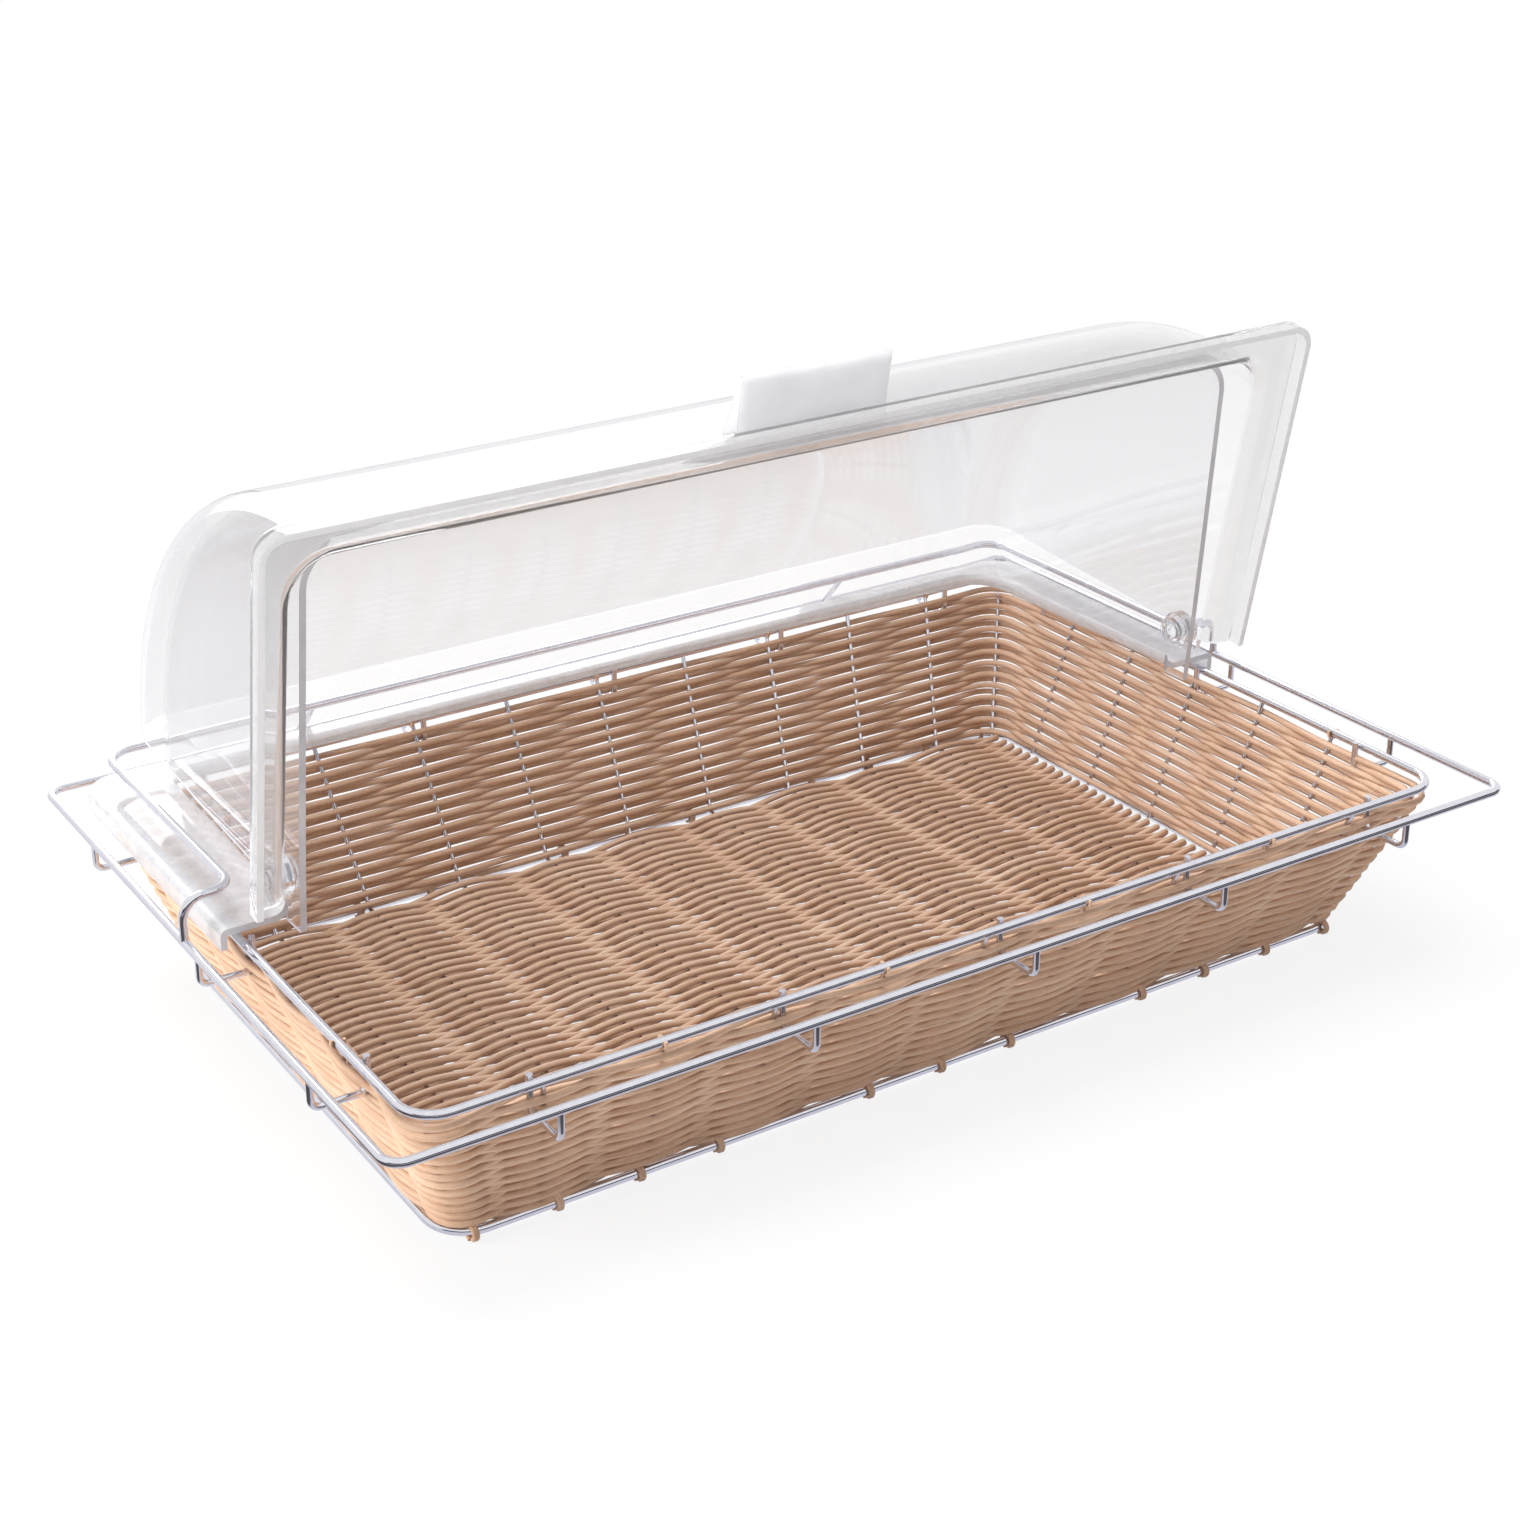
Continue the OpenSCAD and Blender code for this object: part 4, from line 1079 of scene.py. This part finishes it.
def makeFloor():
    # A white sweep that keeps a faint shadow near the object. In gloss it is lilac close to the
    # object, with a band of grey to the front and the left, as the photo's wires mirror it
    # Its gloss colours are a painted reflection: the floor glows with them to glossy rays alone
    paper = {"size": 12.0, "tone": "F2F2F2", "shade": "EFEFF0", "grain": 3.0, "near": 0.84,
             "whiteFrom": 0.5, "whiteAt": 1.2, "frontEdge": 0.22, "leftEdge": 0.3,
             "leftUntil": 0.05, "soft": 0.05, "darkUntil": 0.6, "darkFade": 0.35,
             "paintedReflectionFront": "D0D0DC", "paintedReflectionBack": "EEEEF2", "paintedReflectionDark": "5C5758"}
    mesh = bpy.data.meshes.new("floor")
    mesh.from_pydata([(x * paper["size"], y * paper["size"], 0) for x, y in quarters], [],
                     [(0, 1, 2, 3)])
    material, tree, where = newMaterial("white_paper_sweep")
    path = addNode(tree, "ShaderNodeLightPath").outputs
    grain = addNode(tree, "ShaderNodeTexNoise", {"Vector": where, "Scale": paper["grain"]})
    tone = addNode(tree, "ShaderNodeMix", {
        0: grain, 6: hexColour(paper["tone"]), 7: hexColour(paper["shade"])}, data_type="RGBA")
    matt = addNode(tree, "ShaderNodeBsdfDiffuse", {0: tone.outputs[2]})
    glow = addNode(tree, "ShaderNodeEmission", {0: (1, 1, 1, 1), 1: 1.0})
    away = addNode(tree, "ShaderNodeVectorMath", {0: where}, operation="LENGTH")
    white = addNode(tree, "ShaderNodeMapRange", {
        "Value": away.outputs["Value"], "From Min": paper["whiteFrom"],
        "From Max": paper["whiteAt"], "To Min": paper["near"], "To Max": 1.0})
    shown = addNode(tree, "ShaderNodeMixShader", {0: white, 1: matt, 2: glow})

    # How far a point lies out in the band of painted dark reflection: ahead of the front edge, or
    # beside the left one
    x, y = addNode(tree, "ShaderNodeSeparateXYZ", {0: where}).outputs[:2]
    ahead, beside, nearer = (
        addNode(tree, "ShaderNodeMath", {0: limit, 1: along}, operation="SUBTRACT")
        for limit, along in ((-paper["frontEdge"], y), (-paper["leftEdge"], x),
                             (paper["leftUntil"], y)))
    left = addNode(tree, "ShaderNodeMath", {0: beside, 1: nearer}, operation="MINIMUM")
    outside = addNode(tree, "ShaderNodeMath", {0: ahead, 1: left}, operation="MAXIMUM")
    begins, ends = (
        addNode(tree, "ShaderNodeMapRange", {"Value": outside, "From Min": low, "From Max": high},
                interpolation_type="SMOOTHSTEP")
        for low, high in ((0.0, paper["soft"]), (paper["darkUntil"], paper["darkFade"])))
    dark = addNode(tree, "ShaderNodeMath", {0: begins, 1: ends}, operation="MULTIPLY")
    back = addNode(tree, "ShaderNodeMapRange", {
        "Value": y, "From Min": -paper["frontEdge"], "From Max": 0.0})
    pale = addNode(tree, "ShaderNodeMix", {
        0: back, 6: hexColour(paper["paintedReflectionFront"]), 7: hexColour(paper["paintedReflectionBack"])},
        data_type="RGBA")
    paintedReflectionTone = addNode(tree, "ShaderNodeMix", {
        0: dark, 6: pale.outputs[2], 7: hexColour(paper["paintedReflectionDark"])}, data_type="RGBA")
    # Painted reflection: a glow that only glossy rays see, lilac near the object and dark grey in
    # the band
    mirrored = addNode(tree, "ShaderNodeEmission", {0: paintedReflectionTone.outputs[2], 1: 1.0})
    glossy = addNode(tree, "ShaderNodeMixShader", {
        0: path["Is Glossy Ray"], 1: matt, 2: mirrored})
    shader = addNode(tree, "ShaderNodeMixShader", {
        0: seenByCamera(tree, path), 1: glossy, 2: shown})
    addNode(tree, "ShaderNodeOutputMaterial", {0: shader})
    mesh.materials.append(material)
    linkObject("floor", mesh)


def makeWorld():
    # White to the camera and through the hood. In gloss it is a light tent with one dark seam
    # across its front
    tent = {"fill": 0.52, "seam": "2A2B30", "seamLow": -0.05, "seamTop": 0.27, "seamSoft": 0.06,
            "frontFrom": 0.05, "frontAt": 0.3}
    world = bpy.data.worlds.new("light tent")
    bpy.context.scene.world = world
    world.use_nodes = True
    tree = world.node_tree
    tree.nodes.clear()
    path = addNode(tree, "ShaderNodeLightPath").outputs
    way = addNode(tree, "ShaderNodeTexCoord").outputs["Generated"]
    parts = addNode(tree, "ShaderNodeSeparateXYZ", {0: way}).outputs
    front = addNode(tree, "ShaderNodeMath", {0: parts[1], 1: -1.0}, operation="MULTIPLY")
    soft = tent["seamSoft"]
    ahead, under, over = (
        addNode(tree, "ShaderNodeMapRange", {"Value": value, "From Min": low, "From Max": high},
                interpolation_type="SMOOTHSTEP")
        for value, low, high in (
            (front, tent["frontFrom"], tent["frontAt"]),
            (parts[2], tent["seamTop"] + soft, tent["seamTop"]),
            (parts[2], tent["seamLow"] - soft, tent["seamLow"])))
    seam = addNode(tree, "ShaderNodeMath", {0: under, 1: over}, operation="MULTIPLY")
    dark = addNode(tree, "ShaderNodeMath", {0: ahead, 1: seam}, operation="MULTIPLY")
    tone = addNode(tree, "ShaderNodeMix", {
        0: dark, 6: hexColour("FFFFFF"), 7: hexColour(tent["seam"])}, data_type="RGBA")
    fill = addNode(tree, "ShaderNodeBackground", {0: (1, 1, 1, 1), 1: tent["fill"]})
    white = addNode(tree, "ShaderNodeBackground", {0: (1, 1, 1, 1), 1: 1.0})
    gloss = addNode(tree, "ShaderNodeBackground", {0: tone.outputs[2], 1: 1.0})
    unseen = addNode(tree, "ShaderNodeMixShader", {0: path["Is Glossy Ray"], 1: fill, 2: gloss})
    shader = addNode(tree, "ShaderNodeMixShader", {
        0: seenByCamera(tree, path), 1: unseen, 2: white})
    addNode(tree, "ShaderNodeOutputWorld", {0: shader})


def makeLights():
    # Two softboxes light the object, and the third is only mirrored in it
    lamps = (
        {"name": "top softbox", "place": (-0.1, 0.45, 1.5), "aim": (0, 0.02, 0.08), "size": 1.1,
         "power": 26.0, "mirrored": False},
        {"name": "side softbox", "place": (-1.6, 0.15, 0.55), "aim": (0.1, 0, 0.05),
         "size": 0.9, "power": 25.0, "mirrored": False},
        {"name": "mirrored softbox", "place": (0.37, 1.95, 1.06), "aim": (-0.27, 0.08, 0.09),
         "size": 1.7, "power": 40.0, "mirrored": True},
    )
    for lamp in lamps:
        data = bpy.data.lights.new(lamp["name"], "AREA")
        data.shape = "SQUARE"
        data.size = lamp["size"]
        data.energy = lamp["power"]
        light = linkObject(lamp["name"], data)
        turn = (Vector(lamp["place"]) - Vector(lamp["aim"])).to_track_quat("Z", "Y")
        light.matrix_world = Matrix.Translation(lamp["place"]) @ turn.to_matrix().to_4x4()
        light.visible_glossy = lamp["mirrored"]
        light.visible_diffuse = not lamp["mirrored"]
        light.visible_camera = light.visible_transmission = False


makeCamera()
makeFloor()
makeWorld()
makeLights()
bpy.context.scene.view_settings.view_transform = "Standard"
# Light runs along inside the clear sheets, so its path needs more turns than the usual few
lightPaths = bpy.context.scene.cycles
lightPaths.max_bounces = 24
lightPaths.glossy_bounces = 16
lightPaths.transmission_bounces = 20
lightPaths.transparent_max_bounces = 16
print("stage made")
